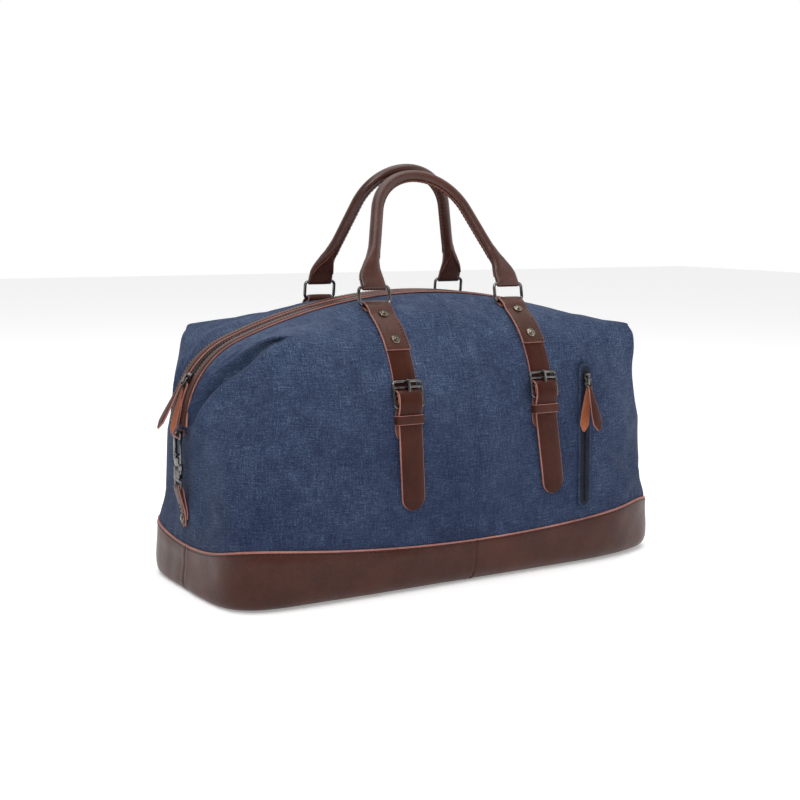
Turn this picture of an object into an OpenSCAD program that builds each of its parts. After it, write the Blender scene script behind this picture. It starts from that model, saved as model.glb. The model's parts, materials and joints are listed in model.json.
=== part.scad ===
/* [Bag body] */
// Half of the bag's length at the middle of its end walls
half_length = 260; // [230:1:290]
// Half of the bag's depth at its belly
half_depth = 122; // [100:1:140]
// Height of the zip at the middle of the bag
crown_z = 288; // [275:1:300]
// Height of the four ear tips
ear_z = 257; // [250:1:262]
// Distance of an ear tip from the middle of the bag, along the length
ear_x = 216; // [205:1:225]
// Thickness of the canvas
canvas_t = 2.0; // [1.2:0.1:3]
// Thickness of the lining
lining_t = 0.8; // [0.5:0.1:1.2]

/* [Leather base] */
// Half of the length that touches the floor
foot_length = 250; // [230:1:256]
// Half of the depth that touches the floor
foot_depth = 92; // [80:1:105]
// Height of the leather band at the middle of the front
band_z = 46; // [42:1:56]
// Extra height of the leather band at the corners
band_rise = 16; // [0:1:24]
// Thickness of the leather
leather_t = 1.8; // [1.2:0.1:2.4]

/* [Handles] */
// Distance of each ring from the middle of the bag
ring_x = 82; // [70:1:95]
// Outer width of a ring
ring_w = 38; // [36:1:42]
// Distance between the top and bottom bars of a ring
ring_pitch = 18; // [16:1:20]
// Diameter of the ring wire
ring_wire = 3.2; // [2.6:0.1:3.6]
// Diameter of the rolled handle
grip_d = 12; // [10:0.5:13]
// Height of the handle's arch above its rings
grip_h = 126; // [115:1:135]
// Lean of the front handle towards the middle
lean_front = 27.5; // [24:0.5:27.5]
// Lean of the back handle towards the middle
lean_back = 20; // [16:0.5:20]

/* [Straps] */
// Width of the tabs that hold the rings
tab_w = 28; // [24:1:30]
// Width of the front straps
strap_w = 26; // [20:1:28]
// Height of the middle of each buckle
buckle_z = 196; // [190:1:200]
// Height of the strap tips
tail_z = 84; // [76:1:100]
// Swing of the left and right strap tails, in degrees
tail_swing = [4.5, 10]; // [0:0.5:12]

/* [Zips] */
// Width of each leather trim beside the zip
trim_w = 14; // [10:1:16]
// Position of the pocket zip along the length
pocket_x = 137; // [130:1:150]
// Lower and upper end of the pocket zip
pocket_span = [66, 214]; // [60:1:220]

/* [Hidden] */
$fn = 48;
EPS = 0.01;
RUN_GAP = 0.05;      // radial clearance of a pin in its bore
FREE_GAP = 0.35;     // gap between pieces that move past each other

// ---- zip path: two end arcs tangent to one long arc over the crown
end_arc_x = 180;
end_arc_z = 166;
end_arc_r = 86;
crown_rise = crown_z - end_arc_z;
crown_r = (pow(end_arc_x, 2) + pow(crown_rise, 2) - pow(end_arc_r, 2)) / (2 * (crown_rise - end_arc_r));
join_a = asin(end_arc_x / (crown_r - end_arc_r));
slit_w = 17;         // half width of the gap in the canvas that the zip fills
slit_end = 1.85;     // where the gap's sides turn in to close its end

// ---- outline of the walls
wall_n = 6.5;        // squareness of the plan outline
corner_f = pow(0.5, 1 / wall_n);
shoulder_z = 150;    // height where the walls begin to curve in
under_z = 40;        // height of the curve under the bag
waist = 7;           // how much the corners draw in between base and shoulder

LEATHER = [0.32, 0.17, 0.12];
CANVAS = [0.16, 0.24, 0.42];
METAL = [0.25, 0.24, 0.23];
RIVET = [0.5, 0.44, 0.34];
CLOTH = [0.2, 0.2, 0.24];
TAPE = [0.09, 0.1, 0.13];

function lerp(a, b, s) = a + (b - a) * s;

// Point of the zip path, [x, z], s = 0 at the crown, 1 where the arcs meet, 2 at the end, t deep
function zip_point(s, t) =
    s <= 1
    ? [(crown_r - t) * sin(join_a * s), crown_z - crown_r + (crown_r - t) * cos(join_a * s)]
    : let (a = lerp(join_a, 90, s - 1)) [end_arc_x + (end_arc_r - t) * sin(a),
            end_arc_z + (end_arc_r - t) * cos(a)];

// Plan outline of a quarter of the bag, k = 0 at the front's middle, 1 at the corner, 2 at the end's middle
function plan(k, t) =
    let (a = half_length - t, b = half_depth - t)
    k <= 1
    ? let (x = corner_f * a * k) [x, b * pow(1 - pow(x / a, wall_n), 1 / wall_n)]
    : let (y = corner_f * b * (2 - k)) [a * pow(1 - pow(y / b, wall_n), 1 / wall_n), y];

function band_top(k) =
    let (p = plan(k, 0)) band_z + band_rise * pow(p[0] / 250, 2) * pow(p[1] / 110, 2);

function wall_low(k, z, t) =
    let (p = plan(k, t), g = z >= under_z ? 0 : 1 - sqrt(1 - pow(1 - z / under_z, 2)),
         f = [p[0] * (foot_length / half_length), p[1] * (foot_depth / half_depth)])
    [lerp(p[0], f[0], g), lerp(p[1], f[1], g), z];

function wall_top(k, t) =
    let (p = plan(k, t)) [p[0] - waist * pow(sin(90 * k), 4), p[1], shoulder_z];

function ridge(w) =
    let (e = [ear_x, 112, ear_z], c = [254, 40, 232], f = [264, 21, 172])
    e * pow(1 - w, 2) + c * 2 * w * (1 - w) + f * pow(w, 2);

function corner(k, t) =
    k <= 1
    ? [ear_x * k, lerp(wall_top(k, t)[1], 112 - t, pow(k, 4)), lerp(crown_z, ear_z, pow(k, 2.6)) - t]
    : k <= slit_end
    ? ridge((k - 1) / (slit_end - 1)) - [t, t * 0.5, t]
    : let (f = (k - slit_end) / (2 - slit_end)) ridge(1) * (1 - f) + [260, 0, 156] * f - [t,
            t * 0.5 * (1 - f), t];

function slit(k, t) =
    k <= slit_end
    ? let (p = zip_point(k <= 1 ? k : 1 + (k - 1) / (slit_end - 1), t)) [p[0], slit_w, p[1]]
    : let (f = (k - slit_end) / (2 - slit_end)) [end_arc_x + end_arc_r - t - 4.5 * f, slit_w * (1 - f),
            end_arc_z - 3 * f];

function sharpness(k) = k <= 1 ? 2.1 + 6 * pow(k, 4) : 8;

// Surface of a quarter of the bag: v = 0..1 leather base, 1..2 wall, 2..3 shoulder and roof
function skin(k, v, t) =
    v <= 1
    ? wall_low(k, max(t, 0) + (band_top(k) - max(t, 0)) * pow(v, 1.5), t)
    : v <= 2
    ? let (a = wall_low(k, band_top(k), t), b = wall_top(k, t)) a * (2 - v) + b * (v - 1)
    : let (a = wall_top(k, t), c = corner(k, t), s = slit(k, t), e = 2 / sharpness(k), q = 90 * (v - 2))
      a + s - c + (c - s) * pow(max(cos(q), 0), e) + (c - a) * pow(sin(q), e);

// Closed sheet between two depths of the skin, over a grid of k and v
module sheet(ks, vs, t0, t1) {
    nk = len(ks);
    nv = len(vs);
    function at(side, i, j) = side * nk * nv + i * nv + j;
    function quad(a, b, c, d) = [[a, b, c], [a, c, d]];
    points = [for (t = [t0, t1]) for (k = ks) for (v = vs) skin(k, v, t)];
    faces = [
        for (i = [0 : nk - 2]) for (j = [0 : nv - 2])
            each quad(at(0, i, j), at(0, i + 1, j), at(0, i + 1, j + 1), at(0, i, j + 1)),
        for (i = [0 : nk - 2]) for (j = [0 : nv - 2])
            each quad(at(1, i, j + 1), at(1, i + 1, j + 1), at(1, i + 1, j), at(1, i, j)),
        for (i = [0 : nk - 2]) each quad(at(0, i + 1, 0), at(0, i, 0), at(1, i, 0), at(1, i + 1, 0)),
        for (i = [0 : nk - 2])
            each quad(at(0, i, nv - 1), at(0, i + 1, nv - 1), at(1, i + 1, nv - 1), at(1, i, nv - 1)),
        for (j = [0 : nv - 2]) each quad(at(0, 0, j), at(0, 0, j + 1), at(1, 0, j + 1), at(1, 0, j)),
        for (j = [0 : nv - 2])
            each quad(at(0, nk - 1, j + 1), at(0, nk - 1, j), at(1, nk - 1, j), at(1, nk - 1, j + 1))
    ];
    polyhedron(points, faces, convexity = 8);
}

K_ALL = [0, 0.2, 0.4, 0.6, 0.75, 0.87, 0.95, 1, 1.06, 1.15, 1.3, 1.45, 1.6, 1.75, 1.85, 1.93, 2];
V_BAND = [0, 0.15, 0.35, 0.6, 0.8, 1];
V_WALL = [0.8, 1, 1.35, 1.7, 2, 2.2, 2.4, 2.55, 2.7, 2.85, 3];
V_LINING = [0.35, 0.6, 0.8, 1, 1.35, 1.7, 2, 2.2, 2.4, 2.55, 2.7, 2.85];

// side = [x, y] signs of a quarter: left is -x, the front is -y
module quarter(side) {
    mirror([side[0] < 0 ? 1 : 0, 0, 0]) mirror([0, side[1] < 0 ? 1 : 0, 0]) children();
}

module canvas_panel(side) {
    color(CANVAS) quarter(side) sheet(K_ALL, V_WALL, 0, canvas_t);
}

module base_band(side) {
    color(LEATHER) quarter(side) sheet(K_ALL, V_BAND, -leather_t, -0.05);
}

function outline(a_half, b_half) =
    let (q = [for (k = K_ALL) let (p = plan(k, 0)) [p[0] * a_half / half_length, p[1] * b_half / half_depth]],
         n = len(q) - 1)
    concat(q, [for (i = [n - 1 : -1 : 0]) [q[i][0], -q[i][1]]],
           [for (i = [1 : n]) [-q[i][0], -q[i][1]]], [for (i = [n - 1 : -1 : 1]) [-q[i][0], q[i][1]]]);

module bottom_panel() {
    color(LEATHER) linear_extrude(leather_t) polygon(outline(foot_length, foot_depth));
}

board_z = leather_t + 0.4;
board_t = 3;
module base_board() {
    color([0.12, 0.12, 0.13]) translate([0, 0, board_z]) linear_extrude(board_t)
        polygon(outline(foot_length - 6, foot_depth - 6));
}

lining_in = canvas_t + 1.9;
module lining() {
    color(CLOTH) for (x = [-1, 1], y = [-1, 1])
        quarter([x, y]) sheet(K_ALL, V_LINING, lining_in, lining_in + lining_t);
}

// ---- pockets: flat pouches that hang inside the lining, [left, right, low, high]
pouch_t = 2;
pouch_y = half_depth - 12;
FRONT_POUCH = [40, 175, 60, 176];
BACK_POUCH = [-110, 110, 90, 176];
module pouch(p, y) {
    color(CLOTH) translate([p[0], y, p[2]]) cube([p[1] - p[0], pouch_t, p[3] - p[2]]);
}
module front_pocket_bag() {
    pouch(FRONT_POUCH, -pouch_y - pouch_t);
}
module inner_pocket() {
    pouch(BACK_POUCH, pouch_y);
}

// ---- zip
tape_low = -0.4;
tape_high = 0.6;
trim_low = 0.7;
trim_high = 2.3;
chain_w = 2.6;
chain_low = -0.6;
chain_high = 1.4;
tape_in = 2.7;
trim_in = 6;
PATH = [for (s = [0 : 0.125 : 2]) s];
function path_side(t) = [for (s = PATH) zip_point(s, -t)];
function mirrored(q) = [for (i = [len(q) - 1 : -1 : 1]) [-q[i][0], q[i][1]]];
function path_row(t) = concat(mirrored(path_side(t)), path_side(t));
function reversed(q) = [for (i = [len(q) - 1 : -1 : 0]) q[i]];
// Strip along the zip path between two heights above it and two distances from the middle
module path_strip(low, high, y0, y1) {
    translate([0, y1, 0]) rotate([90, 0, 0]) linear_extrude(y1 - y0)
        polygon(concat(path_row(low), reversed(path_row(high))));
}
module zip_tape(side) {
    color(TAPE) quarter([1, side])
        path_strip(tape_low, tape_high, tape_in, slit_w - 0.2);
}
module zip_trim(side) {
    color(LEATHER) quarter([1, side]) path_strip(trim_low, trim_high, trim_in, trim_in + trim_w);
}
module zip_chain() {
    color(METAL) path_strip(chain_low, chain_high, -chain_w, chain_w);
}

// ---- upper zip slider and pull, made on the right and mirrored to the left end
slider_a = 61;       // place on the end arc, in degrees from the vertical
slider_gap = 0.75;
slider_w = 10;
link_r = 1.05;
pull_lean = 30;
pull_len = 44;
pull_w = 12;
leaf_t = 1.5;
slider_low = chain_high + slider_gap;
slider_high = slider_low + 1.6;
pivot_h = slider_high + 1.9;
module on_end_arc(a, h) {
    translate([end_arc_x + (end_arc_r + h) * sin(a), 0, end_arc_z + (end_arc_r + h) * cos(a)]) children();
}
slider_turn = 4.3;   // half of the arc that the slider's plate covers
bail = [9, 3.4, 3.6];
module slider_plate() {
    translate([end_arc_x, 0, end_arc_z]) rotate([90, 0, 0]) rotate([0, 0, 90 - slider_a - slider_turn])
        rotate_extrude(angle = 2 * slider_turn, $fn = 360)
            translate([end_arc_r + slider_low, -slider_w / 2]) square([slider_high - slider_low, slider_w]);
}
module slider_bail() {
    difference() {
        translate([-bail[0] / 2, -bail[1] / 2, slider_high - 0.2]) cube(bail);
        translate([0, 3, pivot_h]) rotate([90, 0, 0]) cylinder(r = link_r + RUN_GAP, h = 6);
    }
}
module zip_slider() {
    color(METAL) quarter([-1, 1]) {
        slider_plate();
        on_end_arc(slider_a, 0) rotate([0, slider_a, 0]) slider_bail();
    }
}
// Wire link of a pull: a pin through the slider, two arms and a bar for the leather, hanging down
link_y = 3.4;
link_drop = 9;
module pull_link() {
    for (z = [0, -link_drop]) translate([0, link_y, z]) rotate([90, 0, 0]) cylinder(r = link_r,
            h = 2 * link_y);
    for (y = [-link_y, link_y]) translate([0, y, -link_drop]) cylinder(r = link_r, h = link_drop);
    for (y = [-link_y, link_y], z = [0, -link_drop]) translate([0, y, z]) sphere(r = link_r);
}
// Two leather leaves folded over the link's bar, with pointed ends
module pull_leaves() {
    fold_r = link_r + 0.1;
    difference() {
        union() {
            translate([0, 2.2, -link_drop]) rotate([90, 0, 0]) cylinder(r = fold_r + leaf_t, h = 4.4);
            for (x = [-1, 1]) translate([x > 0 ? 0.1 : -0.1 - leaf_t, 0, -link_drop])
                rotate([90, 0, 90]) linear_extrude(leaf_t)
                    polygon([[-2.2, 0], [2.2, 0], [pull_w / 2, -pull_len + 8], [1, -pull_len],
                            [-pull_w / 2, -pull_len + 8]]);
        }
        translate([0, 4, -link_drop]) rotate([90, 0, 0]) cylinder(r = fold_r, h = 8);
    }
}
module at_zip_pull() {
    quarter([-1, 1]) on_end_arc(slider_a, pivot_h) rotate([0, -pull_lean, 0]) children();
}
module zip_pull_link() { color(METAL) at_zip_pull() pull_link(); }
module zip_pull_leather() { color(LEATHER) at_zip_pull() pull_leaves(); }

// ---- profile of the bag through the straps, as [outward, up]
strap_x = 83;
strap_k = strap_x / (corner_f * half_length);
strap_top_z = skin(strap_k, 3, 0)[2];
strap_band_z = band_top(strap_k);
function profile(v) = let (p = skin(strap_k, v, 0)) [p[1], p[2]];
function v_at(z) =
    z < shoulder_z
    ? 1 + (z - strap_band_z) / (shoulder_z - strap_band_z)
    : 2 + asin(pow((z - shoulder_z) / (strap_top_z - shoulder_z), sharpness(strap_k) / 2)) / 90;
function lean_at(z) =
    let (d = profile(v_at(z) + 0.02) - profile(v_at(z) - 0.02)) atan2(-d[0], d[1]);
// Point at height z on the profile, n outward from the canvas
function off(z, n) = let (a = lean_at(z)) profile(v_at(z)) + n * [cos(a), sin(a)];
// Leather sheet that follows the profile: stations are [z, inner, outer]
module profile_sheet(stations, w) {
    rotate([90, 0, 90]) linear_extrude(w, center = true)
        polygon(concat([for (s = stations) off(s[0], s[1])], reversed([for (s = stations) off(s[0], s[2])])));
}
module facing(side) {
    mirror([0, side < 0 ? 1 : 0, 0]) children();
}

// ---- rings and the tabs that hold them
ring_foot_z = 275;   // height of the canvas under a ring
ring_n = 4.6;        // height of the ring's bottom bar above the canvas
ring_at = off(ring_foot_z, ring_n);
ring_lean = [10, 6];
ring_r = ring_wire / 2;
ring_bar = ring_w / 2 - ring_r;
ring_corner = 3.2;
tab_fold = ring_r + FREE_GAP;
tab_end_z = 236;
tab_low = 2.6;
tab_high = 4.4;
module at_ring(side, x) {
    facing(side) translate([x, ring_at[0], ring_at[1]]) children();
}
module bar(w, r) {
    translate([-w / 2, 0, 0]) rotate([0, 90, 0]) cylinder(r = r, h = w);
}
module ring(side, x) {
    color(METAL) at_ring(side, x) rotate([ring_lean[side < 0 ? 0 : 1], 0, 0]) {
        bar(2 * (ring_bar - ring_corner), ring_r);
        translate([0, 0, ring_pitch]) bar(2 * ring_bar, ring_r);
        for (s = [-1, 1]) {
            translate([s * ring_bar, 0, ring_corner]) cylinder(r = ring_r, h = ring_pitch - ring_corner);
            translate([s * ring_bar, 0, ring_pitch]) sphere(r = ring_r);
            translate([s * (ring_bar - ring_corner), 0, ring_corner]) rotate([90, 0, 0])
                rotate([0, 0, s > 0 ? -90 : 180]) rotate_extrude(angle = 90) translate([ring_corner,
                        0]) circle(r = ring_r);
        }
    }
}
module ring_tab(side, x) {
    facing(side) translate([x, 0, 0]) difference() {
        union() {
            profile_sheet(concat([for (z = [tab_end_z : 4 : ring_foot_z - 3]) [z, tab_low, tab_high]],
                                 [[ring_foot_z - 0.4, tab_low, tab_high]]), tab_w);
            translate([0, ring_at[0], ring_at[1]]) bar(tab_w, tab_fold + leather_t);
        }
        translate([0, ring_at[0], ring_at[1]]) bar(tab_w + 2, tab_fold);
    }
}
module ring_tabs(side) {
    color(LEATHER) for (x = [-ring_x, ring_x]) ring_tab(side, x);
}

// ---- rivets: a low dome on a flange
module rivet(r, h) {
    rotate_extrude() polygon([[0, 0], [r, 0], [r, 0.4 * h], [0.85 * r, 0.7 * h], [0.5 * r, 0.93 * h], [0,
            h]]);
}
rivet_z = [267, 245];
module tab_rivets() {
    color(RIVET) for (side = [-1, 1], x = [-ring_x, ring_x], z = rivet_z)
        facing(side) translate([x, off(z, tab_high + EPS)[0], off(z, tab_high + EPS)[1]])
            rotate([lean_at(z) - 90, 0, 0]) rivet(5, 2);
}

// ---- front straps, billets, keepers
bar_n = 5;           // height of a buckle's bars above the canvas
bar_r = 1.4;
pivot_dz = -2.5;     // the bar that carries the prong
strap_t = 2;
keeper_z = [168, 177];
strap_bottom = keeper_z[0] - 1;
billet_t = 1.2;
STRAP_TOP = concat(
    [[strap_bottom, 4.6, 6.6], [178, 4.8, 6.8], [183, 7, 9], [188, 8.3, 10.3], [192.5, 8.4, 10.4],
     [195, 8.1, 10.1], [197, 6.5, 8.9], [198.5, 4, 6.6], [200.5, 1.3, 3.4], [203, 0.6, 2.4]],
    [for (z = [buckle_z + 12 : 6 : 252]) [z, 1.15, 2.5]]);
STRAP_TAIL = [[tail_z, 1.2, 3.2], [110, 2.4, 4.4], [140, 3.4, 5.4], [160, 4.5, 6.5], [strap_bottom + 1,
        4.6, 6.6]];
buckle_at = off(buckle_z + pivot_dz, bar_n);
buckle_lean = lean_at(buckle_z);
module at_buckle(x) {
    facing(-1) translate([x, buckle_at[0], buckle_at[1]]) rotate([buckle_lean, 0, 0]) children();
}
module prong_slot(z0, z1) {
    translate([-2.1, -3, z0]) cube([4.2, 12, z1 - z0]);
}
module strap(i) {
    x = [-ring_x, ring_x][i];
    color(LEATHER) {
        difference() {
            facing(-1) translate([x, 0, 0]) profile_sheet(STRAP_TOP, strap_w);
            at_buckle(x) prong_slot(-4.5, 8);
        }
        facing(-1) intersection() {
            translate([x, 0, strap_bottom]) rotate([0, -tail_swing[i], 0]) translate([0, 0, -strap_bottom])
                profile_sheet(STRAP_TAIL, strap_w);
            translate([x, half_depth - 20, strap_bottom]) rotate([0, -tail_swing[i], 0]) rotate([-90, 0, 0])
                linear_extrude(60) union() {
                    translate([-strap_w / 2, -2]) square([strap_w, strap_bottom + 2 - tail_z - strap_w / 2]);
                    translate([0, strap_bottom - tail_z - strap_w / 2]) circle(r = strap_w / 2);
                }
        }
    }
}
billet_fold = bar_r + FREE_GAP;
module billets() {
    color(LEATHER) for (x = [-ring_x, ring_x]) difference() {
        union() {
            facing(-1) translate([x, 0, 0])
                profile_sheet([for (z = [152, 160, 170, 180, 186, 192]) [z, 0.3, z > 188 ? 4.2 : 2.5]],
                        strap_w);
            at_buckle(x) bar(strap_w, billet_fold + billet_t);
        }
        at_buckle(x) bar(strap_w + 2, billet_fold);
        at_buckle(x) prong_slot(-1.5, 8);
        at_buckle(x) translate([-2.1, -6, -4]) cube([4.2, 18, 8]);
    }
}
module keepers() {
    h = keeper_z[1] - keeper_z[0];
    in_w = strap_w / 2 + 0.3;
    color(LEATHER) facing(-1) for (x = [-ring_x, ring_x]) translate([x, 0, 0]) {
        profile_sheet([[keeper_z[0], 7.2, 8.6], [keeper_z[1], 7.2, 8.6]], 2 * in_w + 2.8);
        for (s = [-1, 1]) translate([s * (in_w + 0.7), 0, 0])
            profile_sheet([[keeper_z[0], 0.3, 7.3], [keeper_z[1], 0.3, 7.3]], 1.4);
    }
}

// ---- buckles, with the pivot bar on the local X axis, +Y outward and +Z up the wall
frame_x = 16;
frame_top = 15;
frame_second = 9.3;
frame_bottom = -10;
module buckle(x) {
    color(METAL) at_buckle(x) {
        bar(2 * frame_x, bar_r);
        for (z = [frame_top, frame_second, frame_bottom]) translate([0, 0, z]) bar(2 * frame_x, bar_r);
        for (s = [-1, 1]) {
            translate([s * frame_x, 0, frame_bottom]) cylinder(r = bar_r, h = frame_top - frame_bottom);
            for (z = [frame_top, frame_bottom]) translate([s * frame_x, 0, z]) sphere(r = bar_r);
        }
    }
}
prong_w = 3;
prong_in = bar_r + RUN_GAP;
prong_out = prong_in + 1.2;
prong_y = 2.9;
module prong(x) {
    color(METAL) at_buckle(x) difference() {
        union() {
            bar(prong_w, prong_out);
            translate([-prong_w / 2, 0, 0]) rotate([90, 0, 90]) linear_extrude(prong_w)
                polygon([[0, 0], [prong_out, 0], [prong_y + 1.4, 6], [prong_y + 1.4, frame_top + 1],
                        [prong_y - 0.4, frame_top + 2.4],
                         [prong_y - 0.9, frame_top + 1.2], [prong_y - 0.9, 5], [0, prong_out]]);
        }
        bar(prong_w + 2, prong_in);
        for (z = [frame_top, frame_second]) translate([0, 0, z]) bar(prong_w + 2, bar_r + FREE_GAP);
    }
}

// ---- handles: a rolled grip and two folded ends on the rings
arch_r = 58;
arch_a = 71;
arch_top = [arch_r * sin(arch_a), grip_h - arch_r + arch_r * cos(arch_a)];
end_h = 26;
end_x = arch_top[0] + (arch_top[1] - end_h) / tan(arch_a);
module at_handle(side) {
    lean = side < 0 ? lean_front : lean_back;
    tilt = ring_lean[side < 0 ? 0 : 1];
    facing(side) translate([0, ring_at[0] - ring_pitch * sin(tilt), ring_at[1] + ring_pitch * cos(tilt)])
        rotate([lean, 0, 0]) children();
}
// Centre line of the grip, [x, h, direction], from the left end over the arch to the right end
grip_low = end_h + 2.1;
function grip_leg(h) = [arch_top[0] + (arch_top[1] - h) / tan(arch_a), h];
GRIP = concat(
    [for (h = [grip_low : 14 : arch_top[1] - 8]) [-grip_leg(h)[0], h, 90 - arch_a]],
    [for (a = [-arch_a : arch_a / 9 : arch_a]) [arch_r * sin(a), grip_h - arch_r + arch_r * cos(a), 90 + a]],
    [for (i = [0 : 4]) let (h = lerp(arch_top[1] - 8, grip_low, i / 4)) [grip_leg(h)[0], h, 90 + arch_a]]);
grip_sides = 16;
module handle_grip(side) {
    n = len(GRIP);
    points = [for (g = GRIP) for (i = [0 : grip_sides - 1])
        let (a = 360 * i / grip_sides, r = grip_d / 2)
        [g[0] - r * cos(a) * cos(g[2]), r * sin(a), g[1] + r * cos(a) * sin(g[2])]];
    faces = concat(
        [for (j = [0 : n - 2]) for (i = [0 : grip_sides - 1]) let (k = (i + 1) % grip_sides,
                p = j * grip_sides, q = p + grip_sides)
            each [[p + i, q + i, q + k], [p + i, q + k, p + k]]],
        [[for (i = [0 : grip_sides - 1]) i], [for (i = [grip_sides - 1 : -1 : 0]) (n - 1) * grip_sides + i]]);
    color(LEATHER) at_handle(side) polyhedron(points, faces, convexity = 6);
}
module handle_ends(side) {
    color(LEATHER) at_handle(side) for (s = [-1, 1]) difference() {
        union() {
            translate([s * ring_x, 0, 0]) bar(tab_w - 1, tab_fold + leather_t);
            translate([0, 3.5, 0]) rotate([90, 0, 0]) linear_extrude(7)
                polygon([[s * (ring_x - 13.5), 0], [s * (ring_x - 13.5), 8], [s * (end_x - 7), end_h],
                         [s * (end_x + 7), end_h], [s * (ring_x + 13.5), 8], [s * (ring_x + 13.5), 0]]);
        }
        translate([s * ring_x, 0, 0]) bar(tab_w + 2, tab_fold);
    }
}

// ---- plain straps sewn down the back below the rings
module back_straps() {
    color(LEATHER) facing(1) for (x = [-ring_x, ring_x]) translate([x, 0, 0])
        profile_sheet([for (z = [tab_end_z - 26 : 6 : 252]) [z, 1.15, 2.5]], tab_w - 2);
}

// ---- tabs at the two ends of the zip, and the snap hooks that pull them down
hook_x = 268.5;
loop_z = 158;
loop_in = 4.2;
loop_out = 5.6;
loop_w = 8.6;
hook_r = 1.5;
module end_tab(side) {
    color(LEATHER) quarter([side, 1]) {
        translate([0, 7, 0]) rotate([90, 0, 0]) linear_extrude(14)
            polygon(concat([for (a = [70 : 4 : 90]) [end_arc_x + (end_arc_r + 2.5) * sin(a),
                    end_arc_z + (end_arc_r + 2.5) * cos(a)]],
                           [for (a = [90 : -4 : 70]) [end_arc_x + (end_arc_r + 4.3) * sin(a),
                                   end_arc_z + (end_arc_r + 4.3) * cos(a)]]));
        translate([hook_x, loop_w / 2, loop_z]) rotate([90, 0, 0]) difference() {
            union() {
                cylinder(r = loop_out, h = loop_w);
                translate([-0.3, 0]) cube([2.2, 10, loop_w]);
            }
            translate([0, 0, -1]) cylinder(r = loop_in, h = loop_w + 2);
        }
    }
}
eye_z = 104.5;
eye_w = 14;
eye_h = 6.4;
eye_r = 1.3;
anchor_fold = eye_r + FREE_GAP;
module anchor_tab(side) {
    color(LEATHER) quarter([side, 1]) difference() {
        union() {
            translate([hook_x, 5.5, eye_z]) rotate([90, 0, 0]) cylinder(r = anchor_fold + 1.4, h = 11);
            translate([0, 5.5, 0]) rotate([90, 0, 0]) linear_extrude(11)
                polygon([[half_length + 0.3, 64], [half_length + 4.6, 64], [half_length + 4.6, 82],
                        [hook_x + 3, eye_z],
                         [hook_x - 3, eye_z], [half_length + 0.3, 84]]);
        }
        translate([hook_x, 7, eye_z]) rotate([90, 0, 0]) cylinder(r = anchor_fold, h = 14);
    }
}
module anchor_tabs() {
    anchor_tab(-1);
    anchor_tab(1);
}
module anchor_rivets() {
    color(RIVET) for (s = [-1, 1]) quarter([s, 1])
        translate([half_length + 4.6 + EPS, 0, 73]) rotate([0, 90, 0]) rivet(4.2, 1.8);
}
post_z = eye_z + eye_h + 1.2;
module at_hook(side) {
    quarter([side, 1]) translate([hook_x, 0, 0]) children();
}
module rod(p, q, r) {
    d = q - p;
    translate(p) rotate([0, acos(d[2] / norm(d)), atan2(d[1], d[0])]) cylinder(r = r, h = norm(d));
}
module snap_eye(side) {
    color(METAL) at_hook(side) {
        for (z = [eye_z, eye_z + eye_h]) rod([0, -eye_w / 2, z], [0, eye_w / 2, z], eye_r);
        for (y = [-1, 1]) {
            rod([0, y * eye_w / 2, eye_z], [0, y * eye_w / 2, eye_z + eye_h], eye_r);
            for (z = [eye_z, eye_z + eye_h]) translate([0, y * eye_w / 2, z]) sphere(r = eye_r);
        }
        translate([0, 0, eye_z + eye_h]) cylinder(r = 1.95, h = 5.2);
        translate([0, 0, eye_z + eye_h + 5]) cylinder(r = 2.9, h = 2.4);
    }
}
body_z = [eye_z + eye_h + 1.7, 125];
guide_y = 6.5;
bolt_r = 1.3;
bolt_top = 151.4;
bolt_low = 118;
// Cast hook: a flat outline in the plane of the end wall, [y, z], open on the bolt's side
hook_t = 3;
module hook_outline() {
    difference() {
        union() {
            translate([-guide_y - hook_r, 132]) square([2 * (guide_y + hook_r), loop_z - 2 + hook_r - 132]);
            translate([-guide_y + 0.5, loop_z - 2]) square([2 * guide_y - 1, 2 + hook_r]);
            for (s = [-1, 1]) translate([s * (guide_y - 0.5), loop_z - 0.5]) circle(r = hook_r + 0.5);
            polygon([[-guide_y - hook_r, 132.1], [-guide_y - 2.2, body_z[1] - 3], [4, body_z[1] - 3],
                    [guide_y + hook_r, 132.1]]);
        }
        translate([-guide_y + hook_r, 133]) square([2 * (guide_y - hook_r), loop_z - hook_r - 133]);
        translate([-guide_y - 3, body_z[1] + 3]) square([6, bolt_top + 0.4 - body_z[1] - 3]);
    }
}
module snap_hook(side) {
    color(METAL) at_hook(side) difference() {
        union() {
            translate([0, 0, body_z[0]]) cylinder(r = 4.2, h = body_z[1] - body_z[0]);
            translate([-hook_t / 2, 0, 0]) rotate([90, 0, 90]) linear_extrude(hook_t) hook_outline();
            translate([0, -guide_y, body_z[1] - 3]) cylinder(r = 2.4, h = 6);
        }
        translate([0, 0, body_z[0] - 1]) cylinder(r = 2, h = 4);
        translate([0, 0, eye_z + eye_h + 4.6]) cylinder(r = 3.2, h = 3.2);
        translate([0, -guide_y, bolt_low - 2]) cylinder(r = bolt_r + RUN_GAP, h = 20);
    }
}
module snap_bolt(side) {
    color(METAL) at_hook(side) {
        translate([0, -guide_y, bolt_low]) cylinder(r = bolt_r, h = bolt_top - bolt_low);
        rod([1, -guide_y, 137.5], [4.4, -guide_y, 137.5], 1);
        translate([5.2, -guide_y, 137.5]) sphere(r = 1.9);
    }
}

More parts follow.
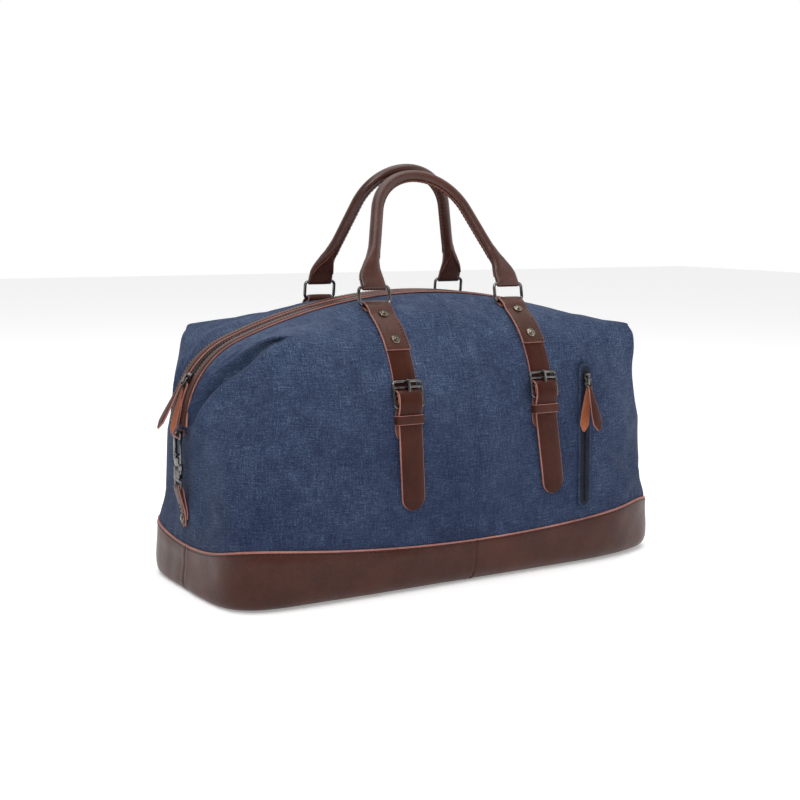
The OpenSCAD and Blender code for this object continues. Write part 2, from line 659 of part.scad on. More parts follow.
// ---- front pocket zip: a straight strip with a slider, leaning with the wall
pocket_low = [half_depth + 0.9, pocket_span[0]];
pocket_high = [half_depth - 2.4, pocket_span[1]];
pocket_len = norm(pocket_high - pocket_low);
pocket_lean = atan2(pocket_low[0] - pocket_high[0], pocket_high[1] - pocket_low[1]);
module at_pocket() {
    facing(-1) translate([pocket_x, pocket_low[0], pocket_low[1]]) rotate([pocket_lean, 0, 0]) children();
}
module stadium(w, h, t) {
    rotate([90, 0, 0]) translate([0, 0, -t]) linear_extrude(t) union() {
        translate([-w / 2, w / 2]) square([w, h - w]);
        for (z = [w / 2, h - w / 2]) translate([0, z]) circle(r = w / 2);
    }
}
module pocket_tape() {
    color(TAPE) at_pocket() translate([0, 1, 0]) stadium(12, pocket_len, 1);
}
module pocket_chain() {
    color(TAPE) at_pocket() translate([0, 2.01, 6]) stadium(4.4, pocket_len - 12, 1);
}
pocket_slide_z = pocket_len - 14;
module at_pocket_slider() {
    at_pocket() translate([0, 3.4, pocket_slide_z]) children();
}
module pocket_slider() {
    color(METAL) at_pocket_slider() {
        translate([-4, 0, -6]) cube([8, 1.4, 12]);
        difference() {
            translate([-1.5, 1.39, -4]) cube([3, 3.2, 8]);
            translate([-3, 3.1, 0]) rotate([0, 90, 0]) cylinder(r = link_r + RUN_GAP, h = 6);
        }
    }
}
module at_pocket_pull() {
    at_pocket_slider() translate([0, 3.1, 0]) rotate([6, 0, 0]) rotate([0, 0, 90]) children();
}
module pocket_pull_link() { color(METAL) at_pocket_pull() pull_link(); }
module pocket_pull_leather() { color(LEATHER) at_pocket_pull() pull_leaves(); }

bottom_panel();
base_board();
base_band([-1, -1]);  // band_front_left
base_band([1, -1]);  // band_front_right
base_band([-1, 1]);  // band_back_left
base_band([1, 1]);  // band_back_right
canvas_panel([-1, -1]);  // canvas_front_left
canvas_panel([1, -1]);  // canvas_front_right
canvas_panel([-1, 1]);  // canvas_back_left
canvas_panel([1, 1]);  // canvas_back_right
lining();
front_pocket_bag();
inner_pocket();
zip_tape(-1);  // zip_tape_front
zip_tape(1);  // zip_tape_back
zip_trim(-1);  // zip_trim_front
zip_trim(1);  // zip_trim_back
zip_chain();
end_tab(-1);  // end_tab_left
end_tab(1);  // end_tab_right
ring_tabs(-1);  // ring_tabs_front
ring_tabs(1);  // ring_tabs_back
strap(0);  // strap_left
strap(1);  // strap_right
billets();
keepers();
tab_rivets();
back_straps();
anchor_tabs();
anchor_rivets();
pocket_tape();
pocket_chain();
ring(-1, -ring_x);  // ring_front_left
ring(-1, ring_x);  // ring_front_right
handle_grip(-1);  // handle_front_grip
handle_ends(-1);  // handle_front_ends
ring(1, -ring_x);  // ring_back_left
ring(1, ring_x);  // ring_back_right
handle_grip(1);  // handle_back_grip
handle_ends(1);  // handle_back_ends
zip_slider();
zip_pull_link();
zip_pull_leather();
pocket_slider();
pocket_pull_link();
pocket_pull_leather();
buckle(-ring_x);  // buckle_left
prong(-ring_x);  // prong_left
buckle(ring_x);  // buckle_right
prong(ring_x);  // prong_right
snap_eye(-1);  // snap_eye_left
snap_hook(-1);  // snap_hook_left
snap_bolt(-1);  // snap_bolt_left
snap_eye(1);  // snap_eye_right
snap_hook(1);  // snap_hook_right
snap_bolt(1);  // snap_bolt_right
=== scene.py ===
import json
import math

import bmesh
import bpy
import numpy as np
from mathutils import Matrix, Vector


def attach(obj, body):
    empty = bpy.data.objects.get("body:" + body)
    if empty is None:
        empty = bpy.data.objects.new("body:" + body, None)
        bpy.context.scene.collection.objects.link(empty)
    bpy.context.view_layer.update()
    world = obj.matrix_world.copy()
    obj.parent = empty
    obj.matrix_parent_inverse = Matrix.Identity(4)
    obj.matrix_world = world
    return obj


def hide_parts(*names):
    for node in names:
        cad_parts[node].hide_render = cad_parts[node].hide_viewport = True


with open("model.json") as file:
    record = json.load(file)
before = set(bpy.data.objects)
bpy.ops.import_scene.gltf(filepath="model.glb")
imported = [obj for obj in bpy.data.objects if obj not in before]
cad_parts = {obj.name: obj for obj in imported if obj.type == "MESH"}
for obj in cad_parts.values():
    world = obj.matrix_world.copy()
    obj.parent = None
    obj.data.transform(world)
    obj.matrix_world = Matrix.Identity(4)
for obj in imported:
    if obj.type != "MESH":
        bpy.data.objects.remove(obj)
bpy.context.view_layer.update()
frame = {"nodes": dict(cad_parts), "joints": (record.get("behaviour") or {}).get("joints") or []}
scene = bpy.context.scene
mm = 0.001


# ---- shape of the bag, in millimetres; the same rule as the CAD shell
bag = {
    "halfLength": 260.0, "halfDepth": 122.0, "crownZ": 288.0, "earZ": 257.0, "earX": 216.0,
    "footLength": 250.0, "footDepth": 92.0, "bandZ": 46.0, "bandRise": 16.0,
    "endArcX": 180.0, "endArcZ": 166.0, "endArcR": 86.0, "slitHalf": 17.0, "slitEnd": 1.85,
    "squareness": 6.5, "shoulderZ": 150.0, "underZ": 40.0, "waist": 7.0,
    "earY": 112.0, "ridgeMid": (254.0, 40.0, 232.0), "ridgeLow": (264.0, 21.0, 172.0),
    "endMiddle": (260.0, 0.0, 156.0),
}
crownRise = bag["crownZ"] - bag["endArcZ"]
crownR = (bag["endArcX"] ** 2 + crownRise ** 2 - bag["endArcR"] ** 2) / (2 * (crownRise - bag["endArcR"]))
joinAngle = math.degrees(math.asin(bag["endArcX"] / (crownR - bag["endArcR"])))
cornerShare = 0.5 ** (1 / bag["squareness"])


def lerp(a, b, s):
    return a + (b - a) * s


def smooth(lo, hi, x):
    s = np.clip((np.asarray(x, float) - lo) / (hi - lo), 0, 1)
    return s * s * (3 - 2 * s)


def unit(a):
    return a / np.maximum(np.linalg.norm(a, axis=-1, keepdims=True), 1e-9)


def zipPoint(s, t=0.0):
    # the zip's arc, x and z, s = 0 at the crown and 2 at the end, t below it
    s = np.asarray(s, float)
    a = np.radians(joinAngle * s)
    b = np.radians(lerp(joinAngle, 90, s - 1))
    x = np.where(s <= 1, (crownR - t) * np.sin(a), bag["endArcX"] + (bag["endArcR"] - t) * np.sin(b))
    z = np.where(s <= 1, bag["crownZ"] - crownR + (crownR - t) * np.cos(a),
                 bag["endArcZ"] + (bag["endArcR"] - t) * np.cos(b))
    return x, z


def planPoint(k, t):
    a, b, n = bag["halfLength"] - t, bag["halfDepth"] - t, bag["squareness"]
    xa = cornerShare * a * np.clip(k, 0, 1)
    yb = cornerShare * b * np.clip(2 - k, 0, 1)
    ya = b * (1 - (xa / a) ** n) ** (1 / n)
    xb = a * (1 - (yb / b) ** n) ** (1 / n)
    return np.where(k <= 1, xa, xb), np.where(k <= 1, ya, yb)


def bandTop(k):
    x, y = planPoint(k, 0)
    return bag["bandZ"] + bag["bandRise"] * (x / 250) ** 2 * (y / 110) ** 2


def stack(x, y, z):
    return np.stack(np.broadcast_arrays(x, y, z), -1)


def wallLow(k, z, t):
    # the lower wall, which rounds in towards the foot
    x, y = planPoint(k, t)
    g = np.where(z >= bag["underZ"], 0, 1 - np.sqrt(np.clip(1 - (1 - z / bag["underZ"]) ** 2, 0, 1)))
    return stack(lerp(x, x * bag["footLength"] / bag["halfLength"], g),
                 lerp(y, y * bag["footDepth"] / bag["halfDepth"], g), z)


def wallTop(k, t):
    x, y = planPoint(k, t)
    return stack(x - bag["waist"] * np.sin(np.radians(90 * k)) ** 4, y, bag["shoulderZ"])


def ridgePoint(w):
    w = np.asarray(w, float)[..., None]
    ear = np.array([bag["earX"], bag["earY"], bag["earZ"]])
    mid, low = np.array(bag["ridgeMid"]), np.array(bag["ridgeLow"])
    return ear * (1 - w) ** 2 + mid * 2 * w * (1 - w) + low * w ** 2


def cornerPoint(k, t):
    top = wallTop(k, t)
    kc = np.clip(k, 0, 1)
    a = stack(bag["earX"] * kc, lerp(top[..., 1], bag["earY"] - t, kc ** 4),
              lerp(bag["crownZ"], bag["earZ"], kc ** 2.6) - t)
    b = ridgePoint(np.clip((k - 1) / (bag["slitEnd"] - 1), 0, 1)) - np.array([t, t * 0.5, t])
    f = np.clip((k - bag["slitEnd"]) / (2 - bag["slitEnd"]), 0, 1)[..., None]
    c = ridgePoint(1.0) * (1 - f) + np.array(bag["endMiddle"]) * f
    c = c - np.concatenate([np.full_like(f, t), t * 0.5 * (1 - f), np.full_like(f, t)], -1)
    return np.where((k <= 1)[..., None], a, np.where((k <= bag["slitEnd"])[..., None], b, c))


def slitPoint(k, t):
    x, z = zipPoint(np.where(k <= 1, k, 1 + (np.clip(k, 1, bag["slitEnd"]) - 1) / (bag["slitEnd"] - 1)), t)
    f = np.clip((k - bag["slitEnd"]) / (2 - bag["slitEnd"]), 0, 1)
    endX = bag["endArcX"] + bag["endArcR"] - t - 4.5 * f
    past = k > bag["slitEnd"]
    return stack(np.where(past, endX, x), np.where(past, bag["slitHalf"] * (1 - f), bag["slitHalf"]),
                 np.where(past, bag["endArcZ"] - 3 * f, z))


def skin(k, v, t=0.0):
    # a quarter of the bag: k is 0 at the middle of the front, 1 at the corner and 2 at the middle of the end;
    # v runs 0-1 over the leather, 1-2 up the wall and 2-3 over the roof
    k, v = np.broadcast_arrays(np.asarray(k, float), np.asarray(v, float))
    low = wallLow(k, max(t, 0) + (bandTop(k) - max(t, 0)) * np.clip(v, 0, 1) ** 1.5, t)
    a, s, c = wallTop(k, t), slitPoint(k, t), cornerPoint(k, t)
    f = np.clip(v - 1, 0, 1)[..., None]
    wall = wallLow(k, bandTop(k), t) * (1 - f) + a * f
    sharp = np.where(k <= 1, 2.1 + 6 * np.clip(k, 0, 1) ** 4, 8)
    q = np.radians(90 * np.clip(v - 2, 0, 1))
    cosE = (np.clip(np.cos(q), 0, 1) ** (2 / sharp))[..., None]
    sinE = (np.clip(np.sin(q), 0, 1) ** (2 / sharp))[..., None]
    roof = a + s - c + (c - s) * cosE + (c - a) * sinE
    return np.where((v <= 1)[..., None], low, np.where((v <= 2)[..., None], wall, roof))


def shellPoint(u, v, side, t=0.0):
    # u runs from the left end (-2) over the middle (0) to the right end (2); side -1 is the front
    p = skin(np.abs(u), v, t)
    return p * np.stack([np.where(np.asarray(u) < 0, -1.0, 1.0) * np.ones(p.shape[:-1]),
                         np.full(p.shape[:-1], float(side)), np.ones(p.shape[:-1])], -1)


def lengths(line):
    # distance of each point along a polyline
    return np.concatenate([[0], np.cumsum(np.linalg.norm(np.diff(line, axis=0), axis=1))])


def readAt(line, d, t):
    # points of a polyline with distances d, at the distances t
    return np.stack([np.interp(t, d, line[:, i]) for i in range(line.shape[1])], -1)


def evenSteps(line, count, params):
    # parameter values that cut a polyline into equal lengths
    d = lengths(line)
    return np.interp(np.linspace(0, d[-1], count), d, params)


def evenLoop(loop, count):
    # a closed line cut into a number of equal lengths
    closed = np.vstack([loop, loop[:1]])
    d = lengths(closed)
    return readAt(closed, d, np.linspace(0, d[-1], count + 1)[:-1])


def wavyNoise(p, size, seed, count=7):
    # smooth noise about -1..1: waves of about one size in seeded directions
    rng = np.random.default_rng(seed)
    total = np.zeros(p.shape[:-1])
    for _ in range(count):
        d = rng.normal(size=3)
        d /= np.linalg.norm(d)
        total += np.sin(p @ (d * 2 * math.pi / (size * rng.uniform(0.7, 1.4))) + rng.uniform(0, 6.28))
    return total / math.sqrt(count) / 1.2


# ---- meshes
def finishMesh(mesh, materials, smoothAngle=40):
    for m in materials:
        mesh.materials.append(m)
    mesh.validate()
    mesh.polygons.foreach_set("use_smooth", np.ones(len(mesh.polygons), bool))
    if smoothAngle < 180:
        mesh.set_sharp_from_angle(angle=math.radians(smoothAngle))


def makeObject(name, points, faces, materials, faceMaterial=None, smoothAngle=40, uv=None):
    mesh = bpy.data.meshes.new(name)
    mesh.from_pydata((np.asarray(points) * mm).tolist(), [], faces)
    finishMesh(mesh, materials, smoothAngle)
    if faceMaterial is not None:
        mesh.polygons.foreach_set("material_index", np.asarray(faceMaterial, np.int32))
    if uv is not None:
        layer = mesh.uv_layers.new(name="UVMap")
        index = np.zeros(len(mesh.loops), np.int32)
        mesh.loops.foreach_get("vertex_index", index)
        layer.data.foreach_set("uv", (np.asarray(uv) * mm)[index].astype(np.float32).ravel())
    obj = bpy.data.objects.new(name, mesh)
    scene.collection.objects.link(obj)
    return obj


def place(obj, body, slotName, *nodes):
    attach(obj, body)
    if nodes:
        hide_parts(*nodes)
    return obj


def gridQuads(nu, nv, start=0, flip=False):
    i, j = np.meshgrid(np.arange(nu - 1), np.arange(nv - 1), indexing="ij")
    a = start + i * nv + j
    quads = np.stack([a, a + nv, a + nv + 1, a + 1], -1).reshape(-1, 4)
    return (quads[:, ::-1] if flip else quads).tolist()


def gridNormals(p):
    du = np.gradient(p, axis=0)
    dv = np.gradient(p, axis=1)
    return unit(np.cross(du, dv))


def gridLengths(p):
    # arc lengths along both ways of a grid, for cloth coordinates
    du = np.linalg.norm(np.diff(p, axis=0), axis=-1)
    dv = np.linalg.norm(np.diff(p, axis=1), axis=-1)
    u = np.concatenate([np.zeros((1, p.shape[1])), np.cumsum(du, 0)], 0)
    v = np.concatenate([np.zeros((p.shape[0], 1)), np.cumsum(dv, 1)], 1)
    u = u - u[p.shape[0] // 2]
    return np.stack([u, v], -1)


def sheetSolid(name, outer, normals, thick, materials, rims=(0, 0, 0, 0), flip=False):
    # closed sheet from a grid of outer points; rims are the materials of its four edges
    nu, nv = outer.shape[:2]
    inner = outer - normals * thick
    points = np.concatenate([outer.reshape(-1, 3), inner.reshape(-1, 3)])
    half = nu * nv
    faces = gridQuads(nu, nv, 0, flip) + gridQuads(nu, nv, half, not flip)
    kinds = [0] * len(faces)
    for rim, line in zip(rims, (
            [i * nv for i in range(nu)], [i * nv + nv - 1 for i in range(nu)],
            list(range(nv)), [(nu - 1) * nv + j for j in range(nv)])):
        turn = line[0] == 0 and line[-1] == (nu - 1) * nv or line[0] == (nu - 1) * nv
        for a, b in zip(line, line[1:]):
            quad = [b, a, half + a, half + b] if turn != flip else [a, b, half + b, half + a]
            faces.append(quad)
            kinds.append(rim)
    uv = gridLengths(outer).reshape(-1, 2)
    return makeObject(name, points, faces, materials, kinds, 50, np.concatenate([uv, uv]))


def ribbonMesh(centre, across, out, half, thick, skirt=0.34, rows=5, crown=0.0):
    # points and faces of a leather strip: centre is the middle of its underside
    n = len(centre)
    half = np.broadcast_to(np.asarray(half, float), (n,))
    thick = np.broadcast_to(np.asarray(thick, float), (n,))
    inset = np.minimum(skirt * thick, half * 0.5)
    cols = [(-half, 0.08 * thick), (-half, 0.72 * thick)]
    for s in np.linspace(-1, 1, rows):
        cols.append((s * (half - inset), thick + crown * (1 - s * s)))
    cols += [(half, 0.72 * thick), (half, 0.08 * thick),
             (half - inset * 0.5, 0 * thick), (-half + inset * 0.5, 0 * thick)]
    m = len(cols)
    points = np.stack([centre + across * c[:, None] + out * h[:, None] for c, h in cols], 1).reshape(-1, 3)
    faces, kinds = [], []
    rawCols = {0, 1, 1 + rows, 2 + rows, 3 + rows, m - 1}
    for i in range(n - 1):
        for j in range(m):
            k = (j + 1) % m
            faces.append([i * m + j, (i + 1) * m + j, (i + 1) * m + k, i * m + k])
            kinds.append(1 if j in rawCols else 2 if j == m - 2 else 0)
    faces += [list(range(m)), [(n - 1) * m + j for j in range(m - 1, -1, -1)]]
    kinds += [1, 1]
    if np.dot(np.cross(across[0], out[0]), centre[1] - centre[0]) < 0:
        faces = [f[::-1] for f in faces]
    return points, faces, kinds


def joinParts(parts):
    points, faces, kinds, base = [], [], [], 0
    for p, f, k in parts:
        points.append(p)
        faces += [[i + base for i in face] for face in f]
        kinds += k
        base += len(p)
    return np.concatenate(points), faces, kinds


def resample(points, step):
    points = np.asarray(points, float)
    d = lengths(points)
    return readAt(points, d, np.linspace(0, d[-1], max(2, int(d[-1] / step) + 1)))


def curveThrough(points, step):
    # smooth line through a few points (Catmull-Rom), cut into equal steps
    p = np.asarray(points, float)
    ext = np.vstack([2 * p[0] - p[1], p, 2 * p[-1] - p[-2]])
    out = []
    for i in range(1, len(ext) - 2):
        t = np.linspace(0, 1, 12, endpoint=False)[:, None]
        a, b, c, d = ext[i - 1], ext[i], ext[i + 1], ext[i + 2]
        out.append(0.5 * (2 * b + (c - a) * t + (2 * a - 5 * b + 4 * c - d) * t ** 2
                          + (3 * b - a - 3 * c + d) * t ** 3))
    out.append(p[-1][None])
    return resample(np.vstack(out), step)


def tipWidths(centre, half, tipStart=0.0, tipEnd=0.0):
    # half widths of a strip with round ends of the given radii
    d = lengths(centre)
    w = np.full(len(centre), float(half))
    for r, s in ((tipStart, d), (tipEnd, d[-1] - d)):
        if r > 0:
            inside = s < r
            w[inside] = half - r + np.sqrt(np.clip(r * r - (r - s[inside]) ** 2, 0, None))
    return np.maximum(w, 0.4)


def tipSteps(line, r, step):
    # extra stations near the end of a line, so that a round tip is smooth
    d = lengths(line)
    tip = d[-1] - r * (1 - np.sin(np.linspace(0, math.pi / 2, 12)))
    return readAt(line, d, np.unique(np.concatenate([np.arange(0, d[-1] - r, step), tip])))


# ---- materials
def material(name):
    m = bpy.data.materials.new(name)
    m.use_nodes = True
    m.diffuse_color = (0.3, 0.2, 0.2, 1)
    return m, m.node_tree, m.node_tree.nodes["Principled BSDF"]


def node(tree, kind, inputs=None, **props):
    n = tree.nodes.new(kind)
    for key, value in props.items():
        setattr(n, key, value)
    for key, value in (inputs or {}).items():
        if isinstance(value, bpy.types.NodeSocket):
            tree.links.new(value, n.inputs[key])
        else:
            n.inputs[key].default_value = value
    return n


def noiseOut(tree, vector, scale, detail=4, rough=0.55, distortion=0.0):
    values = {"Vector": vector, "Scale": scale, "Detail": detail, "Roughness": rough, "Distortion": distortion}
    return node(tree, "ShaderNodeTexNoise", values).outputs["Fac"]


def mathOut(tree, operation, a, b=0.0, c=0.0):
    n = node(tree, "ShaderNodeMath", operation=operation)
    for i, value in enumerate((a, b, c)):
        if isinstance(value, bpy.types.NodeSocket):
            tree.links.new(value, n.inputs[i])
        else:
            n.inputs[i].default_value = value
    return n.outputs[0]


def mixColour(tree, factor, a, b, blend="MIX"):
    n = node(tree, "ShaderNodeMix", data_type="RGBA", blend_type=blend)
    for i, value in ((0, factor), (6, a), (7, b)):
        if isinstance(value, bpy.types.NodeSocket):
            tree.links.new(value, n.inputs[i])
        else:
            n.inputs[i].default_value = value if i == 0 else (*value, 1)
    return n.outputs[2]


def rampOut(tree, factor, *stops):
    n = node(tree, "ShaderNodeValToRGB", {"Fac": factor})
    while len(n.color_ramp.elements) < len(stops):
        n.color_ramp.elements.new(0.5)
    for e, (at, colour) in zip(n.color_ramp.elements, stops):
        e.position = at
        e.color = (*colour, 1) if len(colour) == 3 else colour
    return n.outputs["Color"]


def scaled(tree, vector, scale):
    return node(tree, "ShaderNodeMapping", {"Vector": vector, "Scale": scale}).outputs["Vector"]


def bumpInto(tree, bsdf, height, strength, distance):
    bump = node(tree, "ShaderNodeBump", {"Height": height, "Strength": strength, "Distance": distance})
    tree.links.new(bump.outputs["Normal"], bsdf.inputs["Normal"])


canvasLook = {
    "dark": (0.012, 0.018, 0.044), "mid": (0.031, 0.046, 0.094), "light": (0.074, 0.108, 0.180),
    "worn": (0.19, 0.24, 0.33), "yarn": 1.1,
}


def canvasMaterial(name="washed canvas"):
    look = canvasLook
    m, tree, bsdf = material(name)
    coord = node(tree, "ShaderNodeTexCoord")
    obj, uv = coord.outputs["Object"], coord.outputs["UV"]
    # broad washed patches, crumpled blotches and short yarn streaks both ways
    patch = noiseOut(tree, obj, 9, 3, 0.5)
    blotch = noiseOut(tree, obj, 46, 5, 0.62, 0.5)
    across = noiseOut(tree, scaled(tree, uv, (70, 900, 1)), 1, 2, 0.6)
    along = noiseOut(tree, scaled(tree, uv, (900, 70, 1)), 1, 2, 0.6)
    speck = noiseOut(tree, scaled(tree, uv, (560, 560, 1)), 1, 3, 0.7)
    # painted light: the canvas colour is lifted with height, standing in for the light that falls on the top
    # of the bag
    height = node(tree, "ShaderNodeSeparateXYZ", {"Vector": obj}).outputs["Z"]
    lift = mathOut(tree, "MULTIPLY_ADD", height, 0.75, -0.13)
    total = mathOut(tree, "MULTIPLY_ADD", patch, 0.40, lift)
    total = mathOut(tree, "MULTIPLY_ADD", blotch, 0.38, total)
    total = mathOut(tree, "MULTIPLY_ADD", across, 0.60, total)
    total = mathOut(tree, "MULTIPLY_ADD", along, 0.60, total)
    total = mathOut(tree, "MULTIPLY_ADD", speck, 1.10, total)
    tone = mathOut(tree, "SUBTRACT", total, 1.04)
    colour = rampOut(tree, tone, (0.22, look["dark"]), (0.50, look["mid"]), (0.76, look["light"]),
                     (1.0, look["worn"]))
    # plain weave: over and under yarns
    split = node(tree, "ShaderNodeSeparateXYZ", {"Vector": scaled(tree, uv, (1000, 1000, 1))})
    turn = math.pi / look["yarn"]
    warp = mathOut(tree, "SINE", mathOut(tree, "MULTIPLY", split.outputs["X"], turn))
    weft = mathOut(tree, "SINE", mathOut(tree, "MULTIPLY", split.outputs["Y"], turn))
    weave = mathOut(tree, "MULTIPLY", warp, weft)
    colour = mixColour(tree, mathOut(tree, "MULTIPLY_ADD", weave, 0.10, 0.10), colour, (0.02, 0.035, 0.08))
    tree.links.new(colour, bsdf.inputs["Base Color"])
    bsdf.inputs["Roughness"].default_value = 0.88
    bsdf.inputs["Sheen Weight"].default_value = 0.04
    bsdf.inputs["Sheen Roughness"].default_value = 0.5
    bsdf.inputs["Specular IOR Level"].default_value = 0.10
    rise = mathOut(tree, "MULTIPLY_ADD", weave, 0.30, mathOut(tree, "MULTIPLY", across, 0.6))
    rise = mathOut(tree, "MULTIPLY_ADD", blotch, 1.2, rise)
    bumpInto(tree, bsdf, rise, 0.55, 0.0006)
    return m


def leatherMaterial(name, dark, light, gloss=0.38, grain=900, wear=(0.30, 0.15, 0.10), shine=0.17):
    m, tree, bsdf = material(name)
    obj = node(tree, "ShaderNodeTexCoord").outputs["Object"]
    cloud = noiseOut(tree, obj, 22, 4, 0.6)
    fine = noiseOut(tree, obj, 260, 3, 0.6)
    mix = mathOut(tree, "MULTIPLY_ADD", fine, 0.35, mathOut(tree, "MULTIPLY", cloud, 0.75))
    colour = rampOut(tree, mix, (0.34, dark), (0.72, light))
    rub = rampOut(tree, noiseOut(tree, obj, 75, 5, 0.7), (0.62, (0, 0, 0)), (0.78, (1, 1, 1)))
    colour = mixColour(tree, mathOut(tree, "MULTIPLY", rub, 0.16), colour, wear)
    tree.links.new(colour, bsdf.inputs["Base Color"])
    cells = node(tree, "ShaderNodeTexVoronoi", {"Vector": obj, "Scale": grain, "Randomness": 0.9},
                 feature="SMOOTH_F1")
    pores = mathOut(tree, "POWER", cells.outputs["Distance"], 1.6)
    creases = noiseOut(tree, obj, 120, 4, 0.65, 0.8)
    rough = mathOut(tree, "MULTIPLY_ADD", cloud, 0.22, gloss - 0.10)
    tree.links.new(rough, bsdf.inputs["Roughness"])
    bsdf.inputs["Specular IOR Level"].default_value = shine
    bsdf.inputs["Coat Weight"].default_value = 0.03
    bsdf.inputs["Coat Roughness"].default_value = 0.3
    rise = mathOut(tree, "MULTIPLY_ADD", creases, 1.4, mathOut(tree, "MULTIPLY", pores, -0.7))
    bumpInto(tree, bsdf, rise, 0.4, 0.0005)
    return m


def metalMaterial(name, dark, light, rough=0.28):
    m, tree, bsdf = material(name)
    obj = node(tree, "ShaderNodeTexCoord").outputs["Object"]
    cloud = noiseOut(tree, obj, 90, 4, 0.6)
    colour = rampOut(tree, cloud, (0.35, dark), (0.70, light))
    tree.links.new(colour, bsdf.inputs["Base Color"])
    bsdf.inputs["Metallic"].default_value = 1.0
    gloss = mathOut(tree, "MULTIPLY_ADD", noiseOut(tree, obj, 320, 3), 0.18, rough - 0.09)
    tree.links.new(gloss, bsdf.inputs["Roughness"])
    bumpInto(tree, bsdf, noiseOut(tree, obj, 700, 3), 0.12, 0.0002)
    return m


def clothMaterial(name, dark, light, yarn=0.7, rough=0.8):
    m, tree, bsdf = material(name)
    obj = node(tree, "ShaderNodeTexCoord").outputs["Object"]
    cloud = noiseOut(tree, obj, 60, 4, 0.6)
    split = node(tree, "ShaderNodeSeparateXYZ", {"Vector": scaled(tree, obj, (1000, 1000, 1000))})
    turn = math.pi / yarn
    a = mathOut(tree, "SINE", mathOut(tree, "MULTIPLY", split.outputs["X"], turn))
    b = mathOut(tree, "SINE", mathOut(tree, "MULTIPLY", split.outputs["Z"], turn))
    c = mathOut(tree, "SINE", mathOut(tree, "MULTIPLY", split.outputs["Y"], turn))
    weave = mathOut(tree, "ADD", mathOut(tree, "MULTIPLY", a, b), mathOut(tree, "MULTIPLY", a, c))
    colour = rampOut(tree, mathOut(tree, "MULTIPLY_ADD", weave, 0.14, cloud), (0.3, dark), (0.75, light))
    tree.links.new(colour, bsdf.inputs["Base Color"])
    bsdf.inputs["Roughness"].default_value = rough
    bsdf.inputs["Specular IOR Level"].default_value = 0.15
    bsdf.inputs["Sheen Weight"].default_value = 0.03
    bumpInto(tree, bsdf, weave, 0.3, 0.0002)
    return m


print("materials")
canvas = canvasMaterial()
leather = leatherMaterial("brown leather", (0.036, 0.0105, 0.0065), (0.078, 0.0240, 0.0150),
                          wear=(0.15, 0.065, 0.045))
baseLeather = leatherMaterial("base leather", (0.034, 0.0086, 0.0052), (0.070, 0.0190, 0.0112), 0.34,
                              wear=(0.13, 0.052, 0.036), shine=0.22)
strapLeather = leatherMaterial("strap leather", (0.030, 0.0070, 0.0040), (0.062, 0.0155, 0.0085), 0.40,
                               wear=(0.13, 0.050, 0.032), shine=0.11)
gripLeather = leatherMaterial("grip leather", (0.038, 0.0115, 0.0070), (0.082, 0.0260, 0.0165), 0.30,
                              wear=(0.17, 0.08, 0.055), shine=0.42)
foldLeather = leatherMaterial("folded leather", (0.042, 0.0150, 0.0095), (0.084, 0.0320, 0.0220), 0.34,
                              wear=(0.18, 0.09, 0.065))
# piping leather made near-black: partly the piping's own colour, partly painted shade for the shadow line
# where the bag meets the floor
pipingWithPaintedShade = leatherMaterial("piping darkened as painted floor shade", (0.010, 0.0055, 0.0050), (0.022, 0.0120, 0.0110), 0.4,
                             wear=(0.05, 0.03, 0.025))
rawEdge = leatherMaterial("raw leather edge", (0.24, 0.098, 0.080), (0.44, 0.205, 0.175), 0.72, 1500)
fleshSide = leatherMaterial("flesh side of leather", (0.10, 0.038, 0.024), (0.20, 0.080, 0.055), 0.75, 1200)
leafFlesh = leatherMaterial("flesh side of pulls", (0.24, 0.068, 0.026), (0.40, 0.125, 0.052), 0.6, 1200)
gunmetal = metalMaterial("gunmetal", (0.07, 0.067, 0.064), (0.26, 0.25, 0.24), 0.20)
antique = metalMaterial("antique brass", (0.10, 0.085, 0.062), (0.30, 0.26, 0.205), 0.26)
toothMetal = metalMaterial("zip teeth", (0.03, 0.023, 0.020), (0.11, 0.085, 0.070), 0.36)
tapeCloth = clothMaterial("zip tape", (0.008, 0.010, 0.018), (0.022, 0.026, 0.042))
liningCloth = clothMaterial("lining", (0.03, 0.034, 0.045), (0.07, 0.08, 0.10))
boardPlastic = clothMaterial("stiffener board", (0.02, 0.02, 0.022), (0.05, 0.05, 0.055), 2.0, 0.6)
brownThread = clothMaterial("brown thread", (0.018, 0.006, 0.005), (0.045, 0.015, 0.012), 0.3, 0.65)
blueThread = clothMaterial("blue thread", (0.012, 0.020, 0.050), (0.035, 0.055, 0.11), 0.3, 0.7)
leatherSet = [leather, rawEdge, fleshSide]
strapSet = [strapLeather, rawEdge, fleshSide]


# ---- node trees for what repeats along a line
def treeWith(name, sockets):
    tree = bpy.data.node_groups.new(name, "GeometryNodeTree")
    tree.interface.new_socket("Geometry", in_out="INPUT", socket_type="NodeSocketGeometry")
    for label, kind, value in sockets:
        s = tree.interface.new_socket(label, in_out="INPUT", socket_type=kind)
        if value is not None:
            s.default_value = value
    tree.interface.new_socket("Geometry", in_out="OUTPUT", socket_type="NodeSocketGeometry")
    return tree, tree.nodes.new("NodeGroupInput"), tree.nodes.new("NodeGroupOutput")


def endTree(tree, groupIn, groupOut, geometry):
    smoothed = node(tree, "GeometryNodeSetShadeSmooth", {"Geometry": geometry})
    real = node(tree, "GeometryNodeRealizeInstances", {"Geometry": smoothed.outputs[0]})
    done = node(tree, "GeometryNodeSetMaterial",
                {"Geometry": real.outputs[0], "Material": groupIn.outputs["Material"]})
    tree.links.new(done.outputs[0], groupOut.inputs[0])


def pitchSteps(tree, gin):
    # the seed's lines, cut at the pitch
    curve = node(tree, "GeometryNodeMeshToCurve", {"Mesh": gin.outputs["Geometry"]})
    values = {"Curve": curve.outputs[0], "Length": gin.outputs["Pitch"]}
    return node(tree, "GeometryNodeResampleCurve", values, mode="LENGTH").outputs[0]


